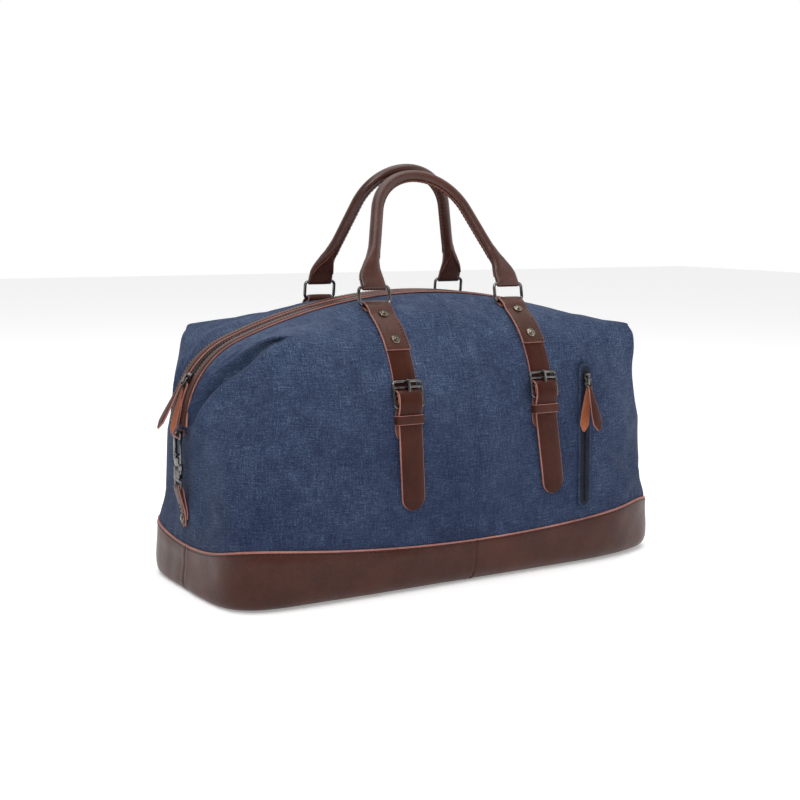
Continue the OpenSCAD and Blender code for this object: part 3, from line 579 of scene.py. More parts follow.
def stitchTree():
    # capsules laid end to end along the lines
    tree, gin, gout = treeWith("stitches", [
        ("Pitch", "NodeSocketFloat", 0.004), ("Length", "NodeSocketFloat", 0.0029),
        ("Thread", "NodeSocketFloat", 0.0009), ("Material", "NodeSocketMaterial", None)])
    steps = pitchSteps(tree, gin)
    thread = gin.outputs["Thread"]
    ball = node(tree, "GeometryNodeMeshUVSphere", {"Segments": 6, "Rings": 6, "Radius": 0.5})
    size = node(tree, "ShaderNodeCombineXYZ", {"X": thread, "Y": thread, "Z": gin.outputs["Length"]})
    shaped = node(tree, "GeometryNodeTransform", {"Geometry": ball.outputs[0], "Scale": size.outputs[0]})
    turn = node(tree, "FunctionNodeAlignRotationToVector",
                {"Vector": tree.nodes.new("GeometryNodeInputTangent").outputs[0]}, axis="Z")
    laid = node(tree, "GeometryNodeInstanceOnPoints",
                {"Points": steps, "Instance": shaped.outputs[0], "Rotation": turn.outputs[0]})
    endTree(tree, gin, gout, laid.outputs[0])
    return tree


def toothTree():
    # teeth that reach in from both sides by turns
    tree, gin, gout = treeWith("zip teeth", [
        ("Pitch", "NodeSocketFloat", 0.0017), ("Width", "NodeSocketFloat", 0.0032),
        ("Shift", "NodeSocketFloat", 0.0007), ("Height", "NodeSocketFloat", 0.0016),
        ("Material", "NodeSocketMaterial", None)])
    steps = pitchSteps(tree, gin)
    thick = mathOut(tree, "MULTIPLY", gin.outputs["Pitch"], 0.62)
    size = node(tree, "ShaderNodeCombineXYZ",
                {"X": thick, "Y": gin.outputs["Width"], "Z": gin.outputs["Height"]})
    tooth = node(tree, "GeometryNodeMeshCube", {"Size": size.outputs[0]})
    parity = mathOut(tree, "MODULO", tree.nodes.new("GeometryNodeInputIndex").outputs[0], 2.0)
    side = mathOut(tree, "MULTIPLY", mathOut(tree, "MULTIPLY_ADD", parity, 2.0, -1.0), gin.outputs["Shift"])
    shift = node(tree, "ShaderNodeCombineXYZ", {"Y": side})
    moved = node(tree, "GeometryNodeSetPosition", {"Geometry": steps, "Offset": shift.outputs[0]})
    turn = node(tree, "FunctionNodeAlignRotationToVector",
                {"Vector": tree.nodes.new("GeometryNodeInputTangent").outputs[0]}, axis="X")
    laid = node(tree, "GeometryNodeInstanceOnPoints",
                {"Points": moved.outputs[0], "Instance": tooth.outputs[0], "Rotation": turn.outputs[0]})
    endTree(tree, gin, gout, laid.outputs[0])
    return tree


def rivetTree():
    # a flange, a low dome and a cap, facing the way stored on each point
    tree, gin, gout = treeWith("rivets", [
        ("Radius", "NodeSocketFloat", 0.005), ("Height", "NodeSocketFloat", 0.002),
        ("Material", "NodeSocketMaterial", None)])
    r, h = gin.outputs["Radius"], gin.outputs["Height"]

    def times(value, share):
        return mathOut(tree, "MULTIPLY", value, share)

    parts = node(tree, "GeometryNodeJoinGeometry")
    for share, low, high in ((1.0, 0.0, 0.5), (0.62, 0.86, 1.0)):
        disc = node(tree, "GeometryNodeMeshCylinder",
                    {"Vertices": 32, "Radius": times(r, share), "Depth": times(h, high - low)})
        up = node(tree, "ShaderNodeCombineXYZ", {"Z": times(h, (low + high) / 2)})
        lifted = node(tree, "GeometryNodeTransform",
                      {"Geometry": disc.outputs[0], "Translation": up.outputs[0]})
        tree.links.new(lifted.outputs[0], parts.inputs[0])
    ball = node(tree, "GeometryNodeMeshUVSphere", {"Segments": 32, "Rings": 16, "Radius": 1.0})
    size = node(tree, "ShaderNodeCombineXYZ", {"X": times(r, 0.93), "Y": times(r, 0.93), "Z": times(h, 0.93)})
    dome = node(tree, "GeometryNodeTransform", {"Geometry": ball.outputs[0], "Scale": size.outputs[0]})
    tree.links.new(dome.outputs[0], parts.inputs[0])
    facing = node(tree, "GeometryNodeInputNamedAttribute", {"Name": "facing"}, data_type="FLOAT_VECTOR")
    turn = node(tree, "FunctionNodeAlignRotationToVector", {"Vector": facing.outputs[0]}, axis="Z")
    laid = node(tree, "GeometryNodeInstanceOnPoints",
                {"Points": gin.outputs["Geometry"], "Instance": parts.outputs[0],
                 "Rotation": turn.outputs[0]})
    endTree(tree, gin, gout, laid.outputs[0])
    return tree


trees = {"stitches": stitchTree(), "teeth": toothTree(), "rivets": rivetTree()}


def grow(name, kind, lines, values, body, slotName, nodes=(), facing=None):
    # runs a node tree over polylines or points, and keeps the result as a plain mesh
    points, edges = [], []
    for line in lines:
        base = len(points)
        points += (np.asarray(line) * mm).tolist()
        edges += [(base + i, base + i + 1) for i in range(len(line) - 1)] if kind != "rivets" else []
    mesh = bpy.data.meshes.new(name)
    mesh.from_pydata(points, edges, [])
    if facing is not None:
        mesh.attributes.new("facing", "FLOAT_VECTOR", "POINT").data.foreach_set(
            "vector", np.asarray(facing, np.float32).ravel())
    seed = bpy.data.objects.new(name, mesh)
    scene.collection.objects.link(seed)
    modifier = seed.modifiers.new("grow", "NODES")
    modifier.node_group = trees[kind]
    ids = {i.name: i.identifier for i in trees[kind].interface.items_tree if i.in_out == "INPUT"}
    for key, value in values.items():
        modifier[ids[key]] = value
    bpy.context.view_layer.update()
    grown = bpy.data.meshes.new_from_object(seed.evaluated_get(bpy.context.evaluated_depsgraph_get()))
    seed.modifiers.clear()
    seed.data = grown
    grown.name = name
    return place(seed, body, slotName, *nodes)


# ---- canvas shell
shell = {
    "step": 2.7, "thick": 1.5, "startV": 0.86, "simStep": 7.5, "simFrames": 22, "cap": 4.5,
    "tuckDepth": 12.0, "tuckBelow": -1.5, "tuckWidth": 4.8, "lip": 2.0, "crease": 1.5, "earLift": 5.5,
    "endIn": 4.5, "inwardCap": 2.6, "cornerWide": 0.17, "bulge": 1.6,
    "tuckShare": {(-1, -1): 1.0, (-1, 1): 0.5, (1, -1): 0.12, (1, 1): 0.12}, "seed": 11,
    "baseIn": {(-1, -1): 0.0, (-1, 1): 6.0, (1, -1): 8.5, (1, 1): 5.0},
    "wallIn": {(-1, -1): 0.0, (-1, 1): 3.0, (1, -1): 8.0, (1, 1): 5.0},
}


def cornerPull(u, v, side):
    # how far each upright corner is drawn in, at the leather and at the canvas above it
    low = np.where(u < 0, shell["baseIn"][(-1, side)], shell["baseIn"][(1, side)])
    high = np.where(u < 0, shell["wallIn"][(-1, side)], shell["wallIn"][(1, side)])
    nearCorner = np.exp(-((np.abs(u) - 1) / shell["cornerWide"]) ** 2)
    return lerp(low, high, smooth(1.0, 1.4, v)) * nearCorner * (1 - smooth(1.85, 2.4, v))


def columnsAndRows(step, startV, seamRows=True):
    fine = np.linspace(-2, 2, 1601)
    line = shellPoint(fine, np.full_like(fine, 1.5), -1)
    total = np.linalg.norm(np.diff(line, axis=0), axis=1).sum()
    us = evenSteps(line, int(total / step) | 1, fine)
    if seamRows:
        perMm = 1 / (cornerShare * bag["halfLength"])
        us = us[np.abs(us) > 3.4 * perMm]
        us = np.sort(np.concatenate([us, np.array([-3.2, -2.0, -1.2, -0.6, 0, 0.6, 1.2, 2.0, 3.2]) * perMm]))
    rows = np.linspace(startV, 3, 801)
    column = shellPoint(np.zeros_like(rows), rows, -1)
    corner = shellPoint(np.full_like(rows, 1.25), rows, -1)
    d = np.linalg.norm(np.diff(column, axis=0), axis=1) + np.linalg.norm(np.diff(corner, axis=0), axis=1)
    cum = np.concatenate([[0], np.cumsum(d)])
    count = int(cum[-1] / 2 / step) | 1
    vs = np.interp(np.linspace(0, cum[-1], count), cum, rows)
    return us, vs


def runUp(p):
    # distance up each column of a grid of points
    steps = np.linalg.norm(np.diff(p, axis=1), axis=-1)
    return np.concatenate([np.zeros((p.shape[0], 1)), np.cumsum(steps, 1)], 1)


def outSign(side):
    return 1 if side < 0 else -1  # turns a grid's normals outwards


def shellFields(us, vs, side):
    # base points, outward normals, distances below the ear's ridge and shares of the roof strip
    u, v = np.meshgrid(us, vs, indexing="ij")
    p = shellPoint(u, v, side)
    n = gridNormals(p) * outSign(side)
    run = runUp(p)
    atRidge = np.array([np.interp(2.5, vs, r) for r in run])[:, None]
    below = atRidge - run
    roof = (run[:, -1:] - run) / np.maximum(run[:, -1:] - atRidge, 1)
    wallRow = int(np.argmin(np.abs(vs - 1.9)))
    outward = unit(n[:, wallRow:wallRow + 1] * np.array([1, 1, 0.15]))
    return u, v, p, n, below, roof, outward


def earFolds(u, v, side, below, roof, n, outward):
    # the tuck under each ear, the lip above it and two creases along the roof
    k = np.abs(u)
    s = shell
    share = np.where(u < 0, s["tuckShare"][(-1, side)], s["tuckShare"][(1, side)])
    deep = s["tuckDepth"] * share * smooth(0.90, 0.99, k) * (1 - smooth(1.6, 1.93, k))
    width = s["tuckWidth"] * (0.8 + 0.5 * smooth(0.92, 1.2, k) - 0.4 * smooth(1.35, 1.85, k))
    centre = s["tuckBelow"] + 2 * smooth(1.1, 1.5, k)
    tuck = deep * np.exp(-np.abs((below - centre) / width) ** 2.4)
    lip = s["lip"] * smooth(0.86, 1.1, k) * (1 - smooth(1.7, 1.95, k))
    lip = lip * np.exp(-((below - centre + 8.5) / 4) ** 2)
    rise = s["crease"] * smooth(0.55, 1.0, k) * (1 - smooth(1.75, 1.95, k))
    creases = rise * (np.exp(-((roof - 0.30) / 0.055) ** 2) + 0.9 * np.exp(-((roof - 0.62) / 0.06) ** 2)
                      - 0.8 * np.exp(-((roof - 0.46) / 0.08) ** 2))
    ear = s["earLift"] * np.exp(-((k - 1.0) / np.where(k < 1, 0.16, 0.22)) ** 2) * np.exp(-(below / 17) ** 2)
    flat = s["endIn"] * smooth(1.0, 1.16, k) * (1 - smooth(1.66, 1.86, k))
    flat = flat * smooth(14, 34, below) * smooth(1.0, 1.35, v)
    push = lip - tuck + 0.25 * ear - flat - cornerPull(u, v, side)
    return (outward * push[..., None] + n * creases[..., None]
            + stack(np.where(u > 0, -0.9, 0.0), 0.0, 1.0) * ear[..., None])


def freeShare(p, v, side):
    # 0 where something is sewn on or presses on the canvas, 1 where it hangs free
    x, y, z = p[..., 0], np.abs(p[..., 1]), p[..., 2]
    free = smooth(1.0, 1.22, v) * (1 - smooth(2.86, 2.99, v))
    if side < 0:
        for cx, swing in ((-82, 4.5), (82, 10)):
            centre = cx + np.clip(167 - z, 0, 90) * math.tan(math.radians(swing))
            free = free * lerp(1, smooth(14, 34, np.abs(x - centre)), smooth(68, 82, z))
        free = free * lerp(1, smooth(8, 24, np.abs(x - 137)), smooth(52, 66, z) * (1 - smooth(212, 226, z)))
    else:
        for cx in (-82, 82):
            free = free * lerp(1, smooth(14, 32, np.abs(x - cx)), smooth(196, 212, z))
    return free * lerp(1, smooth(9, 26, y), smooth(245, 256, np.abs(x)))


def simulateCanvas(side):
    # a slightly over-long cloth, pinned where it is sewn and pushed out by the filling,
    # buckles into soft folds
    us, vs = columnsAndRows(shell["simStep"], shell["startV"], False)
    u, v, p, n, below, roof, outward = shellFields(us, vs, side)
    start = p + earFolds(u, v, side, below, roof, n, outward) * 0.9
    free = freeShare(p, v, side)
    start = start + n * (wavyNoise(p, 95, shell["seed"] + side) * shell["bulge"] * free)[..., None]
    quads = gridQuads(len(us), len(vs), 0, side > 0)
    cloth = makeObject("clothSheet", start.reshape(-1, 3), quads, [canvas], smoothAngle=180)
    group = cloth.vertex_groups.new(name="sewn")
    for i, f in enumerate(free.ravel()):
        group.add([i], float(1 - f) ** 2, "REPLACE")
    mod = cloth.modifiers.new("cloth", "CLOTH")
    c = mod.settings
    c.quality, c.mass = 6, 0.3
    c.tension_stiffness, c.compression_stiffness, c.shear_stiffness, c.bending_stiffness = 22, 22, 6, 1.6
    c.tension_damping = c.compression_damping = c.shear_damping = 8
    c.air_damping = 3
    c.vertex_group_mass, c.pin_stiffness = "sewn", 1
    c.use_pressure, c.uniform_pressure_force = True, 1.1
    c.shrink_min = -0.018
    c.effector_weights.gravity = 0.35
    mod.collision_settings.use_collision = False
    mod.collision_settings.use_self_collision = False
    mod.point_cache.frame_start, mod.point_cache.frame_end = 1, shell["simFrames"]
    for f in range(1, shell["simFrames"] + 1):
        scene.frame_set(f)
    mesh = bpy.data.meshes.new_from_object(cloth.evaluated_get(bpy.context.evaluated_depsgraph_get()))
    co = np.zeros(len(mesh.vertices) * 3)
    mesh.vertices.foreach_get("co", co)
    moved = co.reshape(p.shape) / mm - start
    through = (moved * n).sum(-1, keepdims=True)
    along = moved - through * n
    along[..., 0] *= smooth(2, 30, np.abs(p[..., 0]))
    moved = along * 0.5 + np.clip(through, -shell["inwardCap"], shell["cap"]) * n
    moved *= (1 - 0.65 * smooth(236, 250, np.abs(p[..., 0])))[..., None]
    moved *= (1 - 0.6 * np.exp(-((np.abs(u) - 1) / 0.16) ** 2) * np.exp(-(below / 30) ** 2))[..., None]
    bpy.data.objects.remove(cloth)
    scene.frame_set(1)
    return us, vs, moved * (0.25 + 0.75 * free)[..., None] * (free > 0.001)[..., None]


def between(us, vs, field, u, v):
    # a coarse field read at finer columns and rows
    rows = np.stack([np.stack([np.interp(v, vs, r[:, c]) for r in field]) for c in range(3)], -1)
    out = np.stack([np.stack([np.interp(u, us, rows[:, j, c]) for j in range(len(v))], 1)
                    for c in range(3)], -1)
    for _ in range(3):
        out[1:-1] = (out[:-2] + 2 * out[1:-1] + out[2:]) / 4
        out[:, 1:-1] = (out[:, :-2] + 2 * out[:, 1:-1] + out[:, 2:]) / 4
    return out


def canvasOuter(side, sim):
    us, vs = columnsAndRows(shell["step"], shell["startV"])
    u, v, p, n, below, roof, outward = shellFields(us, vs, side)
    free = freeShare(p, v, side)
    q = p + earFolds(u, v, side, below, roof, n, outward)
    seed = shell["seed"] + 3 * side
    calm = 1 - 0.6 * smooth(236, 250, np.abs(p[..., 0]))
    push = (wavyNoise(p, 130, seed) * 1.2 + wavyNoise(p, 34, seed + 5) * 0.3) * free * calm
    if sim is not None:
        q = q + between(*sim, us, vs)
    # puckers along the seams, the seam line itself and the turned edge above the leather
    x = p[..., 0]
    nearSeam = np.exp(-(x / 9) ** 2) * smooth(1.0, 1.1, v) * (1 - smooth(2.8, 2.95, v))
    push += nearSeam * (0.45 * np.sin(p[..., 2] / 2.6 + 2 * wavyNoise(p, 30, 4)) + 0.3)
    push -= 0.9 * np.exp(-(x / 0.8) ** 2) * smooth(1.0, 1.05, v)
    nearBand = np.exp(-((v - 1) / 0.10) ** 2) * smooth(0.98, 1.01, v)
    push += nearBand * 0.35 * np.sin((p[..., 0] + p[..., 1]) / 3.1 + 3 * wavyNoise(p, 60, 8))
    q = q + n * push[..., None]
    return us, vs, q, gridNormals(q) * outSign(side)


def buildCanvas():
    surfaces = {}
    for side, name in ((-1, "Front"), (1, "Back")):
        sim = simulateCanvas(side)
        us, vs, q, n = canvasOuter(side, sim)
        obj = sheetSolid("canvas" + name, q, n, shell["thick"], [canvas], flip=side > 0)
        place(obj, "bag", "canvas", *(f"canvas_{name.lower()}_{hand}" for hand in ("left", "right")))
        surfaces[side] = (us, vs, q, n)
    return surfaces


print("canvas")
surfaces = buildCanvas()


# ---- leather base, its piping and the bottom
base = {"thick": 1.8, "step": 3.2, "stitchBelow": 3.4, "foot": 7.0, "cornerFoot": 4.0, "piping": 1.5,
        "bottom": 1.8}


def footOut(u):
    # how far the foot stands out past the round underside, most at the corners
    return base["foot"] + base["cornerFoot"] * np.exp(-((np.abs(u) - 1) / 0.15) ** 2)


def buildBase():
    stitches = []
    for side, name in ((-1, "Front"), (1, "Back")):
        us, _ = columnsAndRows(base["step"], 1.0)
        vs = np.concatenate([np.linspace(0, 0.3, 9)[:-1], np.linspace(0.3, 0.96, 15), [0.98, 0.99, 1.0]])
        u, v = np.meshgrid(us, vs, indexing="ij")
        p = shellPoint(u, v, side, -base["thick"])
        n = gridNormals(p) * outSign(side)
        free = smooth(0.02, 0.25, v) * (1 - smooth(0.86, 0.97, v))
        push = free * (0.9 * wavyNoise(p, 120, 21 + side) + 0.35 * wavyNoise(p, 30, 23 + side) + 0.4)
        foot = footOut(u) * (1 - smooth(0.15, 0.80, v)) - cornerPull(u, v, side)
        outward = unit(n[:, len(vs) // 2:len(vs) // 2 + 1] * np.array([1, 1, 0]))
        for at in (0, -1.995, 1.995):
            seam = np.abs(u - at) * cornerShare * (bag["halfLength"] if at == 0 else bag["halfDepth"])
            push -= 0.8 * np.exp(-(seam / 1.0) ** 2) - 0.45 * np.exp(-((seam - 3) / 1.6) ** 2)
        push -= 0.35 * smooth(0.955, 1.0, v)
        q = p + n * push[..., None] + outward * foot[..., None]
        q[..., 2] = np.maximum(q[..., 2], 0.1)
        obj = sheetSolid("leatherBase" + name, q, gridNormals(q) * outSign(side), base["thick"] - 0.15,
                         [baseLeather, rawEdge], rims=(0, 1, 0, 0), flip=side > 0)
        # the top millimetre and a half shows the raw cut of the leather
        for i in range(len(us) - 1):
            for j in (len(vs) - 3, len(vs) - 2):
                obj.data.polygons[i * (len(vs) - 1) + j].material_index = 1
        place(obj, "bag", "leather", *(f"band_{name.lower()}_{hand}" for hand in ("left", "right")))
        run = runUp(q)
        line = np.array([[np.interp(run[i, -1] - base["stitchBelow"], run[i], q[i, :, c]) for c in range(3)]
                         for i in range(len(us))])
        stitches.append(resample(line + n[:, -3] * 0.05, 2.0))
    return stitches


def tube(path, radius, sides, ups=None, closed=False):
    # round rod along a path; radius may change along it
    path = np.asarray(path, float)
    n = len(path)
    tangent = unit(np.gradient(path, axis=0) if not closed else np.roll(path, -1, 0) - np.roll(path, 1, 0))
    up = np.array([0, 0, 1.0]) if ups is None else np.asarray(ups, float)
    a = unit(np.cross(tangent, np.broadcast_to(up, path.shape)))
    b = np.cross(a, tangent)
    ang = np.linspace(0, 2 * math.pi, sides, endpoint=False)
    r = np.broadcast_to(np.asarray(radius, float), (n,))[:, None, None]
    circle = a[:, None] * np.cos(ang)[None, :, None] + b[:, None] * np.sin(ang)[None, :, None]
    ring = path[:, None] + r * circle
    faces = []
    for i in range(n if closed else n - 1):
        near, far = i * sides, (i + 1) % n * sides
        faces += [[near + j, near + (j + 1) % sides, far + (j + 1) % sides, far + j] for j in range(sides)]
    if not closed:
        faces += [list(range(sides))[::-1], [(n - 1) * sides + j for j in range(sides)]]
    return ring.reshape(-1, 3), faces, [0] * len(faces)


def footLine(grow):
    # the closed line round the foot, moved out by a distance
    u = np.linspace(-2, 2, 220)
    loop = np.concatenate([shellPoint(u, np.zeros(220), -1), shellPoint(u[::-1], np.zeros(220), 1)[1:-1]])
    front, back = (footOut(u) - cornerPull(u, 0.0, side) for side in (-1, 1))
    out = np.concatenate([front, back[::-1][1:-1]])
    along = unit(np.roll(loop, -1, 0) - np.roll(loop, 1, 0))
    loop = loop + stack(along[:, 1], -along[:, 0], 0.0) * (grow + out)[:, None]
    return evenLoop(loop, 360)


def buildBottom():
    line = footLine(0.4)
    rings = np.array([1, 0.985, 0.95, 0.86, 0.7, 0.5, 0.3, 0.12])
    grid = line[None] * rings[:, None, None]
    count = len(line)
    sag = 0.12 * wavyNoise(grid, 60, 31)
    low, high = grid.copy(), grid.copy()
    low[..., 2] = 0.12 + np.abs(sag)
    high[..., 2] = base["bottom"]
    points = np.concatenate([low.reshape(-1, 3), high.reshape(-1, 3)])
    half = count * len(rings)
    faces = []
    for level, flip in ((0, False), (half, True)):
        for i in range(len(rings) - 1):
            near, far = level + i * count, level + (i + 1) * count
            for j in range(count):
                k = (j + 1) % count
                f = [near + j, far + j, far + k, near + k]
                faces.append(f[::-1] if flip else f)
        cap = [level + (len(rings) - 1) * count + j for j in range(count)]
        faces.append(cap if flip else cap[::-1])
    faces += [[j, (j + 1) % count, half + (j + 1) % count, half + j] for j in range(count)]
    obj = makeObject("bottomLeather", points, faces, [leather])
    place(obj, "bag", "leather", "bottom_panel")
    ridge = line + np.array([0, 0, base["piping"] + 0.05])
    p, f, k = tube(ridge, base["piping"], 8, closed=True)
    # the piping's near-black colour is partly painted shade: the shadow line where the bag sits on the floor
    place(makeObject("basePiping", p, f, [pipingWithPaintedShade]), "bag", "leather")


print("leather base")
baseStitches = buildBase()
buildBottom()


# ---- line down the front and back through the straps, as the CAD has it
strapK = 83 / (cornerShare * bag["halfLength"])
strapTopZ = float(skin(strapK, 3.0)[2])
strapBandZ = float(bandTop(strapK))
strapSharp = 2.1 + 6 * strapK ** 4


def profileV(z):
    z = np.asarray(z, float)
    share = np.clip((z - bag["shoulderZ"]) / (strapTopZ - bag["shoulderZ"]), 0, 1)
    return np.where(z < bag["shoulderZ"], 1 + (z - strapBandZ) / (bag["shoulderZ"] - strapBandZ),
                    2 + np.degrees(np.arcsin(share ** (strapSharp / 2))) / 90)


def wallFrame(z):
    # outward, up and lean of the wall at a height
    v = profileV(z)
    p, a, b = (skin(np.full_like(v, strapK), w)[..., 1:] for w in (v, v - 0.02, v + 0.02))
    d = b - a
    lean = np.arctan2(-d[..., 0], d[..., 1])
    return p, lean


def wallPoint(z, n, x=0.0, side=-1):
    z, n = np.asarray(z, float), np.asarray(n, float)
    p, lean = wallFrame(z)
    return stack(x, side * (p[..., 0] + n * np.cos(lean)), p[..., 1] + n * np.sin(lean))


def wallFacing(z, side=-1):
    _, lean = wallFrame(np.asarray(z, float))
    return stack(0.0, side * np.cos(lean), np.sin(lean))


def stripAlong(points, across, half, thick, turnOut, step=2.0, tipStart=0.0, tipEnd=0.0, crown=0.0):
    # leather strip whose underside follows points; its finished side starts towards turnOut
    line = tipSteps(points, tipEnd, step) if tipEnd else resample(points, step)
    if tipStart:
        line = tipSteps(line[::-1], tipStart, step)[::-1]
    tangent = unit(np.gradient(line, axis=0))
    across = np.broadcast_to(np.asarray(across, float), line.shape)
    out = unit(np.cross(tangent, across))
    if np.dot(out[0], turnOut) < 0:
        out = -out
    across = unit(np.cross(out, tangent))
    halves = tipWidths(line, half, tipStart, tipEnd) if np.isscalar(half) else half(line)
    thicks = thick if np.isscalar(thick) else thick(line)
    return ribbonMesh(line, across, out, halves, thicks, crown=crown), line, out, across


strap = {
    "half": 13.0, "swing": {-1: 4.5, 1: 10.0}, "foldZ": 167.0, "x": 82.0, "backThick": 1.35, "backLow": 212.0,
    # height and distance from the canvas, from under the tab through the buckle to the tip
    "route": [(252, 1.15), (240, 1.15), (222, 1.15), (208, 1.0), (203.5, 0.7), (201, 1.2), (198.8, 3.8),
              (197, 6.4), (195, 8.0), (191, 8.5), (187, 8.1), (183, 6.9), (178, 5.0), (172, 4.7), (167, 4.6),
              (158, 4.4), (140, 3.4), (110, 2.4), (84, 1.3)],
}
buckle = {"barZ": 193.5, "barN": 5.0, "leanZ": 196.0, "half": 16.0, "low": -10.0, "high": 15.0, "round": 3.2,
          "bars": [(15.6, 0), (15.8, 9.3)], "wire": 1.5}
billet = {"half": 12.9, "thick": 1.15, "fold": 1.75, "end": 12.0,
          "back": [(152, 1.7), (166, 1.7), (180, 1.8), (187, 2.5)]}
keeper = {"z": 172.5, "half": 4.5, "thick": 1.4,
          "loop": [(-13.9, 0.5), (-13.9, 6.3), (-13.2, 7.3), (-12.2, 7.6), (-6, 7.8), (0, 7.85)]}


def buildStraps():
    threads = []
    for s, name in ((-1, "Left"), (1, "Right")):
        z = np.array([r[0] for r in strap["route"]], float)
        n = np.array([r[1] for r in strap["route"]], float)
        flat = curveThrough(wallPoint(z, n), 1.0)
        down = np.clip(strap["foldZ"] - flat[:, 2], 0, None)
        bend = 1 - np.exp(-down / 6)
        flat[:, 0] = s * strap["x"] + down * math.tan(math.radians(strap["swing"][s])) * bend
        part, *_ = stripAlong(
            flat, (1, 0, 0), strap["half"], lambda q: np.interp(q[:, 2], [202, 212], [2.0, 1.35]),
            step=2.2, tipEnd=strap["half"], crown=0.25, turnOut=(0, -1, 0))
        obj = makeObject("strap" + name, *part[:2], strapSet, part[2])
        place(obj, "bag", "leather", "strap_" + name.lower())
        # billet: a short end under the strap that folds round the buckle's bar
        bar = wallPoint(buckle["barZ"], buckle["barN"])
        lean = float(wallFrame(np.array(buckle["leanZ"]))[1])
        up = np.array([0, math.sin(lean), math.cos(lean)])
        outward = np.array([0, -math.cos(lean), math.sin(lean)])
        r = billet["fold"]
        arc = [bar + r * (math.cos(a) * -outward + math.sin(a) * up) for a in np.linspace(0, math.pi, 9)]
        under = wallPoint([z for z, _ in billet["back"]], [n for _, n in billet["back"]])
        path = np.vstack([under, arc, [bar + r * outward - 6 * up]])
        path[:, 0] = s * strap["x"] - 2.5 * np.interp(path[:, 2], [150, 190], [1, 0])
        part, *_ = stripAlong(path, (1, 0, 0), billet["half"], billet["thick"], step=1.6,
                              tipStart=billet["end"], turnOut=(0, 1, 0))
        place(makeObject("billet" + name, *part[:2], strapSet, part[2]), "bag", "leather",
              *(["billets"] if s < 0 else []))
        # keeper: a narrow loop across the strap
        loop = keeper["loop"] + [(-x, h) for x, h in keeper["loop"][-2::-1]]
        centre = np.array([wallPoint(keeper["z"], h, s * strap["x"] + x) for x, h in loop])
        rise = unit(wallPoint(keeper["z"] + 1, 0) - wallPoint(keeper["z"] - 1, 0))
        part, *_ = stripAlong(centre, rise, keeper["half"], keeper["thick"], step=1.0, turnOut=(-1, 0, 0))
        place(makeObject("keeper" + name, *part[:2], leatherSet, part[2]), "bag", "leather",
              *(["keepers"] if s < 0 else []))
    for s, name in ((-1, "Left"), (1, "Right")):
        z = np.linspace(252, strap["backLow"], 14)
        line = wallPoint(z, np.full_like(z, 1.15), s * strap["x"], 1)
        part, line, out, across = stripAlong(line, (1, 0, 0), strap["half"], strap["backThick"],
                                             turnOut=(0, 1, 0))
        place(makeObject("backStrap" + name, *part[:2], leatherSet, part[2]), "bag", "leather",
              *(["back_straps"] if s < 0 else []))
        for d in (-1, 1):
            threads.append(line[:-1] + across[:-1] * d * 10.3 + out[:-1] * strap["backThick"])
        end = line[-2] + out[-2] * strap["backThick"]
        threads.append(end + across[-2] * np.linspace(-10.3, 10.3, 8)[:, None])
    return threads


tab = {"half": 14.0, "thick": 1.75, "endZ": 236.0, "ringZ": 275.0, "ringN": 4.6, "innerR": 1.95,
       "rivetZ": (267.0, 245.0), "rivetN": (5.25, 4.45), "stitchOut": 11.4}


def buildTabs():
    threads, rivets, facings = [], [], []
    for side, name in ((-1, "Front"), (1, "Back")):
        parts = []
        for x in (-82.0, 82.0):
            z = np.array([tab["endZ"], 244, 252, 260, 265, 267.5, 269.5, 272])
            outer = wallPoint(z, [2.6, 2.6, 2.6, 2.6, 2.6, 2.9, 4.3, 6.0], x, side)
            bar = wallPoint(tab["ringZ"], tab["ringN"], x, side)
            lean = float(wallFrame(np.array(tab["ringZ"]))[1])
            up = np.array([0, -side * math.sin(lean), math.cos(lean)])
            outward = np.array([0, side * math.cos(lean), math.sin(lean)])
            arc = [bar + tab["innerR"] * (math.cos(a) * outward + math.sin(a) * up)
                   for a in np.linspace(0.25, math.pi, 10)]
            under = [bar - tab["innerR"] * outward - d * up for d in (3, 7)]
            path = curveThrough(np.vstack([outer, arc, under]), 1.0)
            part, line, out, across = stripAlong(path, (1, 0, 0), tab["half"], tab["thick"], step=1.2,
                                                 crown=0.3, turnOut=(0, side, 0))
            parts.append(part)
            rows = slice(2, int(np.argmax(line[:, 2] > 262)))
            wide = tab["stitchOut"]
            for d in (-1, 1):
                threads.append(line[rows] + across[rows] * d * wide + out[rows] * (tab["thick"] + 0.05))
            end = line[2] + out[2] * (tab["thick"] + 0.1)
            threads.append(end + across[2] * np.linspace(-wide, wide, 8)[:, None])
            for z, n in zip(tab["rivetZ"], tab["rivetN"]):
                rivets.append(wallPoint(z, n, x, side))
                facings.append(wallFacing(z, side))
        p, f, k = joinParts(parts)
        obj = makeObject("ringTabs" + name, p, f, [foldLeather, rawEdge, fleshSide], k)
        place(obj, "bag", "leather", f"ring_tabs_{name.lower()}")
    grow("tabRivets", "rivets", [rivets], {"Radius": 0.0050, "Height": 0.0021, "Material": antique},
         "bag", "rivet", ["tab_rivets"], facings)
    return threads


print("straps and tabs")
brownRuns = buildStraps() + buildTabs()


# ---- zip: trims, tapes, teeth
zipSet = {"trimInner": 6.0, "trimWidth": 14.0, "trimLift": 0.75, "trimThick": 1.5, "stitchIn": 2.4,
          "tapeHalf": 8.1, "tapeAt": 8.7, "tapeThick": 0.8}


def zipLine(lift, y=0.0, sEnd=2.0, count=260):
    s = np.linspace(-sEnd, sEnd, count)
    x, z = zipPoint(np.abs(s), -lift)
    return stack(np.sign(s) * x, y, z)


